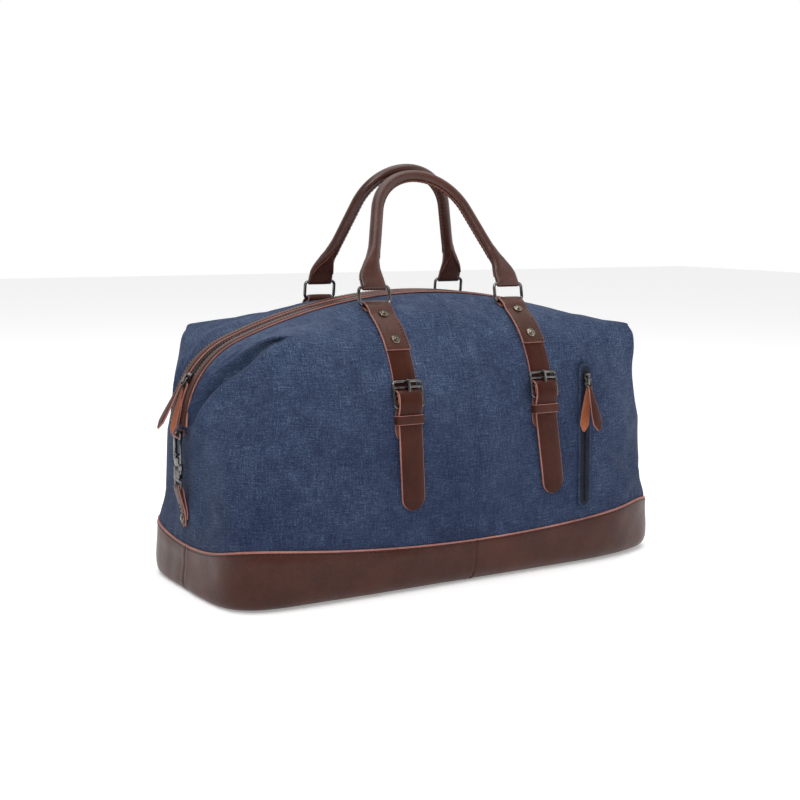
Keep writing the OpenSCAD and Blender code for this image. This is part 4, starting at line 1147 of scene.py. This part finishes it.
def buildZip():
    threads = []
    for side, name in ((-1, "Front"), (1, "Back")):
        mid = zipSet["trimInner"] + zipSet["trimWidth"] / 2
        line = zipLine(zipSet["trimLift"], side * mid)
        part, line, out, across = stripAlong(line, (0, 1, 0), zipSet["trimWidth"] / 2, zipSet["trimThick"],
                                             step=2.5, crown=0.55, turnOut=(-1, 0, 0))
        place(makeObject("zipTrim" + name, *part[:2], leatherSet, part[2]), "bag", "leather",
              f"zip_trim_{name.lower()}")
        for d in (-1, 1):
            aside = zipSet["trimWidth"] / 2 - zipSet["stitchIn"]
            threads.append(line + across * d * aside + out * (zipSet["trimThick"] + 0.25))
        part, *_ = stripAlong(zipLine(-0.3, side * zipSet["tapeAt"]), (0, 1, 0), zipSet["tapeHalf"],
                              zipSet["tapeThick"], step=3.5, turnOut=(-1, 0, 0))
        place(makeObject("zipTape" + name, *part[:2], [tapeCloth] * 3, part[2]), "bag", "zip_tape",
              f"zip_tape_{name.lower()}")
    line = zipLine(0.75, 0.0, 1.99, 900)
    grow("zipTeeth", "teeth", [line], {"Pitch": 0.0015, "Width": 0.0036, "Shift": 0.0009, "Height": 0.0015,
                                       "Material": toothMetal}, "bag", "zip_metal", ["zip_chain"])
    return threads


print("zip")
brownRuns += buildZip()


# ---- end tabs with the loops for the snap hooks, and the anchor tabs
endTab = {"half": 7.0, "thick": 1.6, "arcR": 88.5, "loopR": 4.2, "loopAt": (268.5, 158.0), "stitchOut": 4.9,
          "halfAt": ([160, 166, 178, 300], [4.3, 5.2, 7.0, 7.0])}
anchor = {"half": 5.6, "thick": 1.35, "end": 5.2, "foldR": 1.65, "foldAt": (268.5, 104.5), "stitchOut": 4.2,
          "rivet": (264.3, 73.0), "under": [(262.3, 72), (262.3, 80), (264.4, 92)],
          "over": [(268.0, 96), (264.4, 84), (263.0, 76), (262.8, 64)]}


def sweepPoints(centre, r, degrees, turn=1):
    # points of an arc in the plane through the middle of the bag
    a = np.radians(degrees)
    return np.stack([centre[0] + r * np.cos(a), np.zeros(len(a)), centre[1] + turn * r * np.sin(a)], -1)


def buildEnds():
    threads, rivets, facings, ends, anchors = [], [], [], [], []
    for s in (-1, 1):
        a = np.radians(np.array([62, 68, 74, 80, 86.0]))
        arc = np.stack([bag["endArcX"] + endTab["arcR"] * np.sin(a), np.zeros(5),
                        bag["endArcZ"] + endTab["arcR"] * np.cos(a)], -1)
        loop = sweepPoints(endTab["loopAt"], endTab["loopR"], np.linspace(0, 215, 12), -1)
        path = curveThrough(np.vstack([arc, [[270.2, 0, 164.5]], loop]), 0.8) * np.array([s, 1, 1])
        widths = lambda q: np.minimum(np.interp(q[:, 2], *endTab["halfAt"]),
                                      tipWidths(q, endTab["half"], endTab["half"], 0))
        line = tipSteps(path[::-1], endTab["half"], 1.2)[::-1]
        part, line, out, across = stripAlong(line, (0, 1, 0), widths, endTab["thick"], step=1.0,
                                             crown=-0.35, turnOut=(s, 0, 0.3))
        ends.append(part)
        rows = line[:, 2] > 176
        for d in (-1, 1):
            threads.append((line + across * d * endTab["stitchOut"] + out * 1.55)[rows][5:])
        fold = sweepPoints(anchor["foldAt"], anchor["foldR"], np.linspace(180, 0, 9))
        under, over = ([(x, 0, z) for x, z in anchor[part]] for part in ("under", "over"))
        path = curveThrough(np.vstack([under, fold, over]), 0.8) * np.array([s, 1, 1])
        part, line, out, across = stripAlong(path, (0, 1, 0), anchor["half"], anchor["thick"], step=1.0,
                                             tipEnd=anchor["end"], turnOut=(-s, 0, 0))
        anchors.append(part)
        half = len(line) * 2 // 3
        for d in (-1, 1):
            threads.append((line + across * d * anchor["stitchOut"] + out * anchor["thick"])[half:-5])
        rivets.append(np.array([s * anchor["rivet"][0], 0, anchor["rivet"][1]]))
        facings.append((s, 0, 0))
    for name, parts, nodes in (("endTabs", ends, ["end_tab_left", "end_tab_right"]),
                               ("anchorTabs", anchors, ["anchor_tabs"])):
        p, f, k = joinParts(parts)
        place(makeObject(name, p, f, leatherSet, k), "bag", "leather", *nodes)
    grow("anchorRivets", "rivets", [rivets], {"Radius": 0.0042, "Height": 0.0019, "Material": antique},
         "bag", "rivet", ["anchor_rivets"], facings)
    return threads


print("end tabs")
brownRuns += buildEnds()


# ---- handles
handle = {
    "rise": 126.0, "archR": 58.0, "archAngle": 71.0, "lean": {-1: 27.5, 1: 20.0},
    "widthAt": ([-3.8, 0, 10, 15, 22, 30, 42, 400], [13.4, 13.6, 13.5, 12.2, 9.4, 7.3, 6.1, 6.0]),
    "depthAt": ([-3.75, -3.3, -2.2, 0, 9, 16, 26, 38, 400], [0.5, 1.8, 3.05, 3.75, 3.1, 3.4, 4.9, 5.9, 6.0]),
    "squareAt": ([0, 12, 28, 44], [4.0, 3.4, 2.5, 2.0]),
    "vee": ([36, 30, 24, 18, 12, 9.0], [0, 1.5, 4.6, 8.2, 10.8, 11.8]),
    "legAt": ([-4, 9, 16, 24, 34, 48], [82, 82, 80.6, 78, 75.0, 69]),
}


def handleSpace(side):
    swing = "handle_front_swing" if side < 0 else "handle_back_swing"
    joint = next(j for j in frame["joints"] if j["name"] == swing)
    py, pz = abs(joint["pos_m"][1]) / mm, joint["pos_m"][2] / mm
    a = math.radians(handle["lean"][side])

    def toWorld(p):
        p = np.asarray(p, float)
        y = py + p[..., 1] * math.cos(a) - p[..., 2] * math.sin(a)
        z = pz + p[..., 1] * math.sin(a) + p[..., 2] * math.cos(a)
        return np.stack([p[..., 0], side * y, z], -1)
    return toWorld


def handlePath():
    a, r = math.radians(handle["archAngle"]), handle["archR"]
    topX, topH = r * math.sin(a), handle["rise"] - r + r * math.cos(a)
    ang = np.linspace(-a, a, 33)
    arch = np.stack([r * np.sin(ang), handle["rise"] - r + r * np.cos(ang)], -1)
    legX = lambda h: topX + (topH - h) / math.tan(a)
    left = [(-82, -3.7), (-82, 0), (-82, 9), (-80.6, 16), (-78.0, 24),
            (-legX(34) - 0.6, 34), (-legX(48), 48), (-legX(66), 66)]
    right = [(-x, h) for x, h in left[::-1]]
    line = curveThrough(np.vstack([left, arch, right]), 1.5)
    return np.stack([line[:, 0], np.zeros(len(line)), line[:, 1]], -1)


def buildHandles():
    path = handlePath()
    tangent = unit(np.gradient(path, axis=0))
    outY = np.array([0, 1.0, 0])
    inner = unit(np.cross(tangent, np.broadcast_to(outY, path.shape)))
    if inner[len(path) // 2, 2] > 0:
        inner = -inner
    h = path[:, 2]
    wide = np.interp(h, *handle["widthAt"])
    deep = np.interp(h, *handle["depthAt"])
    square = np.interp(h, *handle["squareAt"])
    sides = 28
    ang = np.linspace(0, 2 * math.pi, sides, endpoint=False)
    c, s = np.cos(ang)[None], np.sin(ang)[None]
    cc = np.sign(c) * np.abs(c) ** (2 / square[:, None])
    ss = np.sign(s) * np.abs(s) ** (2 / square[:, None])
    # wrinkles where the round grip gathers into the flat end
    gather = np.exp(-((h - 25) / 11) ** 2)[:, None]
    ripple = 1 + 0.045 * gather * np.sin(5 * ang + 1.3)[None]
    ring = (path[:, None] + inner[:, None] * (wide[:, None] * cc * ripple)[..., None]
            + outY * (deep[:, None] * ss * ripple)[..., None])
    count = len(path)
    faces = []
    for i in range(count - 1):
        near, far = i * sides, (i + 1) * sides
        faces += [[near + j, far + j, far + (j + 1) % sides, near + (j + 1) % sides] for j in range(sides)]
    faces += [list(range(sides)), [(count - 1) * sides + j for j in range(sides)][::-1]]
    for side, name in ((-1, "Front"), (1, "Back")):
        toWorld = handleSpace(side)
        body = "handle_" + name.lower()
        points = toWorld(ring.reshape(-1, 3))
        order = [f[::-1] for f in faces] if side < 0 else faces
        obj = makeObject("handle" + name, points, order, [gripLeather], smoothAngle=60)
        place(obj, body, "leather", f"handle_{name.lower()}_grip", f"handle_{name.lower()}_ends")
        # sewn lip along the inner side of the grip
        keep = h > 33
        lip = path[keep] + inner[keep] * (wide[keep] - 0.9)[:, None]
        turned = unit(toWorld([0, 1, 0]) - toWorld([0, 0, 0]))
        part = ribbonMesh(toWorld(lip), np.broadcast_to(turned, lip.shape),
                          unit(toWorld(lip + inner[keep]) - toWorld(lip)), 0.9, 2.0, rows=3)
        # gathered V on the side that faces the bag's middle, where the rolled edges open out
        vees = []
        tipH, drift = handle["vee"]
        middle = np.interp(tipH, *handle["legAt"])
        deepHere = np.interp(tipH, *handle["depthAt"])
        for end in (-1, 1):
            for arm in (-1, 1):
                line = np.stack([end * middle + arm * np.array(drift), -deepHere + 0.25, tipH], -1)
                line = curveThrough(line, 1.2)
                w = toWorld(line)
                outDir = np.broadcast_to(unit(toWorld([0, -1, 0]) - toWorld([0, 0, 0])), w.shape)
                across = unit(np.cross(outDir, unit(np.gradient(w, axis=0))))
                vees.append(ribbonMesh(w, across, outDir, 0.9, 1.0, rows=3))
        p, f, k = joinParts([part] + vees)
        place(makeObject("handleSeam" + name, p, f, [leather, fleshSide, leather], k), body, "leather")
        run = path[keep] + inner[keep] * (wide[keep] * 0.93)[:, None] + outY * (deep[keep] * 0.42)[:, None]
        grow("handleThread" + name, "stitches", [toWorld(run), toWorld(run * np.array([1, -1, 1]))],
             {"Pitch": 0.0042, "Length": 0.0028, "Thread": 0.0008, "Material": brownThread}, body, "leather")


print("handles")
buildHandles()


# ---- pulls, sliders, buckles, rings and snap hooks
def refine(nodeName, body, bevel):
    # a CAD part with its points merged and its edges rounded
    mesh = frame["nodes"][nodeName].data.copy()
    mesh.materials.clear()
    obj = bpy.data.objects.new(nodeName + "Rounded", mesh)
    scene.collection.objects.link(obj)
    bm = bmesh.new()
    bm.from_mesh(mesh)
    bmesh.ops.remove_doubles(bm, verts=bm.verts, dist=2e-6)
    bmesh.ops.dissolve_limit(bm, angle_limit=math.radians(1.5), verts=bm.verts, edges=bm.edges)
    bmesh.ops.recalc_face_normals(bm, faces=bm.faces)
    bm.to_mesh(mesh)
    bm.free()
    if "custom_normal" in mesh.attributes:
        mesh.attributes.remove(mesh.attributes["custom_normal"])
    if bevel:
        b = obj.modifiers.new("round", "BEVEL")
        b.width, b.segments, b.limit_method, b.angle_limit = bevel * mm, 2, "ANGLE", math.radians(40)
        b.use_clamp_overlap = True
        bpy.context.view_layer.update()
        seen = obj.evaluated_get(bpy.context.evaluated_depsgraph_get())
        rounded = bpy.data.meshes.new_from_object(seen)
        obj.modifiers.clear()
        obj.data = rounded
    finishMesh(obj.data, [gunmetal], 38)
    return place(obj, body, "gunmetal", nodeName)


def wireLoop(half, low, high, r):
    # centre line of a bent wire frame: x and height
    corners = ((half - r, low + r, -90), (half - r, high - r, 0),
               (-half + r, high - r, 90), (-half + r, low + r, 180))
    line = [(cx + r * math.cos(math.radians(a + d)), cz + r * math.sin(math.radians(a + d)))
            for cx, cz, a in corners for d in np.linspace(0, 90, 9)]
    return evenLoop(np.array(line), 144)


def wireFrame(name, at, lean, side, loop, bars, radius):
    up = np.array([0, -side * math.sin(lean), math.cos(lean)])
    out = np.array([0, side * math.cos(lean), math.sin(lean)])
    line = at + np.array([1.0, 0, 0]) * loop[:, :1] + up * loop[:, 1:]
    parts = [tube(line, radius, 16, ups=out, closed=True)]
    for x, h in bars:
        ends = at + up * h + np.array([1.0, 0, 0]) * np.linspace(-x, x, 7)[:, None]
        parts.append(tube(ends, radius, 16, ups=out))
    p, f, _ = joinParts(parts)
    obj = makeObject(name + "Wire", p, f, [gunmetal], smoothAngle=60)
    return place(obj, name, "gunmetal", name)


ringWire = {"half": 17.4, "high": 18.0, "round": 4.2, "wire": 1.65, "lean": {-1: 10.0, 1: 6.0}}


def buildMetal():
    hands = ((-strap["x"], "left"), (strap["x"], "right"))
    loop = wireLoop(ringWire["half"], 0, ringWire["high"], ringWire["round"])
    for side, word in ((-1, "front"), (1, "back")):
        for x, hand in hands:
            at = wallPoint(tab["ringZ"], tab["ringN"], x, side)
            lean = math.radians(ringWire["lean"][side])
            wireFrame(f"ring_{word}_{hand}", at, lean, side, loop, [], ringWire["wire"])
    loop = wireLoop(buckle["half"], buckle["low"], buckle["high"], buckle["round"])
    lean = float(wallFrame(np.array(buckle["leanZ"]))[1])
    for x, hand in hands:
        at = wallPoint(buckle["barZ"], buckle["barN"], x)
        wireFrame("buckle_" + hand, at, lean, -1, loop, buckle["bars"], buckle["wire"])
    for hand in ("left", "right"):
        for name, bevel in (("prong_", 0.35), ("snap_eye_", 0.2), ("snap_hook_", 0.5), ("snap_bolt_", 0.2)):
            refine(name + hand, name + hand, bevel)
    refine("zip_slider", "zip_slider", 0.5)
    refine("pocket_slider", "pocket_slider", 0.45)
    refine("zip_pull_link", "zip_pull", 0)
    refine("pocket_pull_link", "pocket_pull", 0)


leaf = {"link": 9.0, "fold": 1.2, "thick": 1.4, "at": (3, 8, 14, 20, 28, 36, 42, 46),
        "halfAt": ([0, 4, 12, 28, 38, 42, 46.5], [1.9, 2.1, 3.6, 5.6, 5.9, 3.6, 0.5])}


def pullLeaves(name, body, nodeName, pivot, slope, wide, splay, fall):
    # two pointed leaves from a fold round the link's bar; slope is the link's lean in degrees,
    # wide is across and fall is the way the leaves hang
    lean, wide = math.radians(slope), np.array(wide, float)
    link = np.array([0, 0, -math.cos(lean)]) - np.array([wide[1], wide[0], 0]) * math.sin(lean)
    bar = np.array(pivot, float) + unit(link) * leaf["link"]
    hang = unit(np.array(fall, float))
    face = np.cross(wide, hang)
    parts = []
    for d in (1, -1):
        a = math.radians(splay * d)
        down = unit(hang * math.cos(a) + wide * math.sin(a) + face * 0.07 * d)
        acrossDir = unit(wide * math.cos(a) - hang * math.sin(a))
        arc = [bar + leaf["fold"] * (math.sin(t) * face * d - math.cos(t) * hang)
               for t in np.linspace(0, math.pi / 2, 5)]
        run = [bar + leaf["fold"] * face * d + down * s for s in leaf["at"]]
        line = curveThrough(np.vstack([arc, run]), 1.0)
        far = np.clip((line - bar) @ hang, 0, None)
        half = np.interp(far, *leaf["halfAt"])
        tangent = unit(np.gradient(line, axis=0))
        out = unit(np.cross(tangent, np.broadcast_to(acrossDir, line.shape)))
        if np.dot(out[-1], face * d) < 0:
            out = -out
        parts.append(ribbonMesh(line, unit(np.cross(out, tangent)), out, half, leaf["thick"], rows=3))
    p, f, k = joinParts(parts)
    obj = makeObject(name, p, f, [leather, rawEdge, leafFlesh], k)
    return place(obj, body, "leather", nodeName)


print("metal parts and pulls")
buildMetal()
pullLeaves("zipPullLeaves", "zip_pull", "zip_pull_leather", (-260.159, 0, 210.433),
           30, (0, 1, 0), 7, (-0.38, 0, -0.92))
pullLeaves("pocketPullLeaves", "pocket_pull", "pocket_pull_leather", (137, -126.411, 200.149),
           7.3, (1, 0, 0), -8, (0.03, -0.1, -1))


# ---- pocket zip
pocket = {"x": 137.0, "low": (122.9, 66.0), "high": (119.6, 214.0), "half": 6.0}


def buildPocket():
    low, high = (np.array([pocket["x"], -p[0], p[1]]) for p in (pocket["low"], pocket["high"]))
    up = unit(high - low)
    out = unit(np.cross(up, np.array([1.0, 0, 0])))
    if out[1] > 0:
        out = -out
    length = np.linalg.norm(high - low)
    r = pocket["half"]
    turn = r * (1 - np.cos(np.linspace(0, math.pi / 2, 9)))
    s = np.concatenate([turn, np.linspace(r, length - r, 40)[1:-1],
                        length - r * (1 - np.cos(np.linspace(math.pi / 2, 0, 9)))])
    half = np.sqrt(np.clip(r * r - np.clip(np.abs(s - length / 2) - (length / 2 - r), 0, r) ** 2, 0.05, None))
    line = low + up * s[:, None] + out * 0.9
    right = np.array([1.0, 0, 0])
    p, f, k = ribbonMesh(line, np.broadcast_to(right, line.shape), np.broadcast_to(out, line.shape),
                         half, 0.9, rows=5)
    place(makeObject("pocketTape", p, f, [tapeCloth] * 3, k), "bag", "zip_tape", "pocket_tape")
    coil = low + up * np.linspace(5, length - 5, 400)[:, None] + out * 2.2
    values = {"Pitch": 0.0012, "Width": 0.0030, "Shift": 0.0006, "Height": 0.0011, "Material": tapeCloth}
    grow("pocketCoil", "teeth", [coil], values, "bag", "coil", ["pocket_chain"])
    # turned edge of the canvas round the slot
    ang = np.linspace(0, 2 * math.pi, 160, endpoint=False)
    w = r + 1.1
    cx = w * np.sign(np.cos(ang)) * np.abs(np.cos(ang))
    along = np.where(np.sin(ang) >= 0, length - r, r) + w * np.sin(ang)
    rim = evenLoop(low + up * along[:, None] + right * cx[:, None] + out * 1.0, 259)
    p, f, k = tube(rim, 1.35, 8, closed=True, ups=out)
    place(makeObject("pocketHem", p, f, [canvas], uv=p[:, [0, 2]]), "bag", "canvas")
    centre = low + up * length / 2
    away = unit(rim - centre - up * ((rim - centre) @ up)[:, None] * 0.98)
    return [rim + away * 3.0 + out * 0.15]


print("pocket")
blueRuns = buildPocket()


# ---- inside: lining, pockets, board
def buildInside():
    for side, name in ((-1, "Front"), (1, "Back")):
        us, vs = columnsAndRows(9.0, 0.35, False)
        us, vs = np.clip(us, -1.99, 1.99), vs[vs < 2.86]
        u, v, p, n, below, _, outward = shellFields(us, vs, side)
        k = np.abs(u)
        room = 16 * smooth(0.7, 0.88, k) * (1 - smooth(1.75, 1.97, k)) * np.exp(-((below - 2) / 26) ** 2)
        ease = smooth(0.95, 1.1, v)
        inward = room + 3.5 * ease * smooth(1, 1.1, k) + cornerPull(u, v, side)
        p = p - n * (3.2 + 4.0 * ease)[..., None] - outward * inward[..., None]
        obj = sheetSolid("lining" + name, p, gridNormals(p) * outSign(side), 0.7, [liningCloth], flip=side > 0)
        place(obj, "bag", "lining", *(["lining"] if side < 0 else []))
    for name, box, y, nodeName in (("frontPouch", (40, 175, 60, 176), -111.0, "front_pocket_bag"),
                                   ("backPouch", (-110, 110, 90, 176), 111.0, "inner_pocket")):
        x, z = np.meshgrid(np.linspace(box[0], box[1], 40), np.linspace(box[2], box[3], 34), indexing="ij")
        fill = (np.sin(np.pi * (x - box[0]) / (box[1] - box[0]))
                * np.sin(np.pi * (z - box[2]) / (box[3] - box[2])))
        p = stack(x, y, z)
        sign = np.sign(y)
        p[..., 1] -= sign * (fill * 3.0 + 0.5 * wavyNoise(p, 30, 51) * fill)
        normals = gridNormals(p)
        normals *= np.sign(-normals[..., 1:2] * sign)
        obj = sheetSolid(name, p, normals, 1.6, [liningCloth], flip=bool(sign < 0))
        place(obj, "bag", "lining", nodeName)
    frame["nodes"]["base_board"].data.materials.clear()
    frame["nodes"]["base_board"].data.materials.append(boardPlastic)


print("inside")
buildInside()


# ---- stitches
def seamRuns():
    runs = []
    for side in (-1, 1):
        us, vs, q, n = surfaces[side]
        for x in (-3.2, 3.2):
            i = int(np.argmin(np.abs(us * cornerShare * bag["halfLength"] - x)))
            rows = (vs > 1.02) & (vs < 2.93)
            runs.append(resample(q[i][rows] + n[i][rows] * 0.1, 2.0))
    return runs


print("stitches")
grow("brownStitches", "stitches", brownRuns,
     {"Pitch": 0.0036, "Length": 0.0026, "Thread": 0.00085, "Material": brownThread}, "bag", "leather")
grow("baseStitches", "stitches", baseStitches,
     {"Pitch": 0.0048, "Length": 0.0034, "Thread": 0.0009, "Material": brownThread}, "bag", "leather")
grow("blueStitches", "stitches", blueRuns + seamRuns(),
     {"Pitch": 0.0036, "Length": 0.0026, "Thread": 0.0007, "Material": blueThread}, "bag", "canvas")


# ---- floor, light and camera
studio = {
    "camera": (-0.7749, -1.2325, 0.3736), "target": (0, 0, 0.2), "lens": 61.73,
    "shift": (-0.0161, -0.0324), "roll": 0.5, "key": 21.0, "fill": 4.0, "top": 24.0, "front": 0.32,
    "floorGlow": 0.30,
}


def buildStudio():
    scene.view_settings.view_transform = "Standard"
    floorMat, tree, bsdf = material("studio floor")
    bsdf.inputs["Base Color"].default_value = (0.93, 0.93, 0.93, 1)
    bsdf.inputs["Roughness"].default_value = 0.9
    bsdf.inputs["Specular IOR Level"].default_value = 0.1
    bsdf.inputs["Emission Color"].default_value = (1, 1, 1, 1)
    bsdf.inputs["Emission Strength"].default_value = studio["floorGlow"]
    size = 6000.0
    corners = [(x * size, y * size, -0.05) for x, y in ((-1, -1), (1, -1), (1, 1), (-1, 1))]
    floor = makeObject("floor", corners, [[0, 1, 2, 3]], [floorMat])
    world = bpy.data.worlds.new("studio")
    scene.world = world
    world.use_nodes = True
    # a white backdrop behind the bag, a dimmer room in front of it
    tree = world.node_tree
    away = (Vector(studio["target"]) - Vector(studio["camera"])).normalized()
    direction = node(tree, "ShaderNodeTexCoord").outputs["Generated"]
    ahead = node(tree, "ShaderNodeVectorMath", {0: direction, 1: (away.x, away.y, 0)},
                 operation="DOT_PRODUCT").outputs["Value"]
    values = {"Value": ahead, "From Min": -0.2, "From Max": 0.45, "To Min": studio["front"], "To Max": 1.0}
    share = node(tree, "ShaderNodeMapRange", values).outputs["Result"]
    tree.links.new(share, tree.nodes["Background"].inputs["Strength"])
    tree.nodes["Background"].inputs["Color"].default_value = (1, 1, 1, 1)
    for name, at, size in (("key", (-1.1, -1.3, 1.9), 1.3), ("top", (0.0, -0.1, 2.2), 2.2),
                           ("fill", (1.5, -1.2, 0.9), 1.4)):
        light = bpy.data.lights.new(name, "AREA")
        light.shape, light.size, light.energy = "DISK", size, studio[name]
        lamp = bpy.data.objects.new(name, light)
        lamp.location = at
        lamp.rotation_euler = (Vector((0, 0, 0.18)) - Vector(at)).to_track_quat("-Z", "Y").to_euler()
        scene.collection.objects.link(lamp)
    data = bpy.data.cameras.new("camera")
    camera = bpy.data.objects.new("camera", data)
    camera.location = studio["camera"]
    aim = (Vector(studio["target"]) - Vector(studio["camera"])).to_track_quat("-Z", "Y")
    camera.rotation_euler = aim.to_euler()
    camera.rotation_euler.rotate_axis("Z", math.radians(studio["roll"]))
    data.sensor_width, data.lens = 36, studio["lens"]
    data.shift_x, data.shift_y = studio["shift"]
    data.clip_start, data.clip_end = 0.05, 50
    scene.collection.objects.link(camera)
    scene.camera = camera


print("studio")
buildStudio()
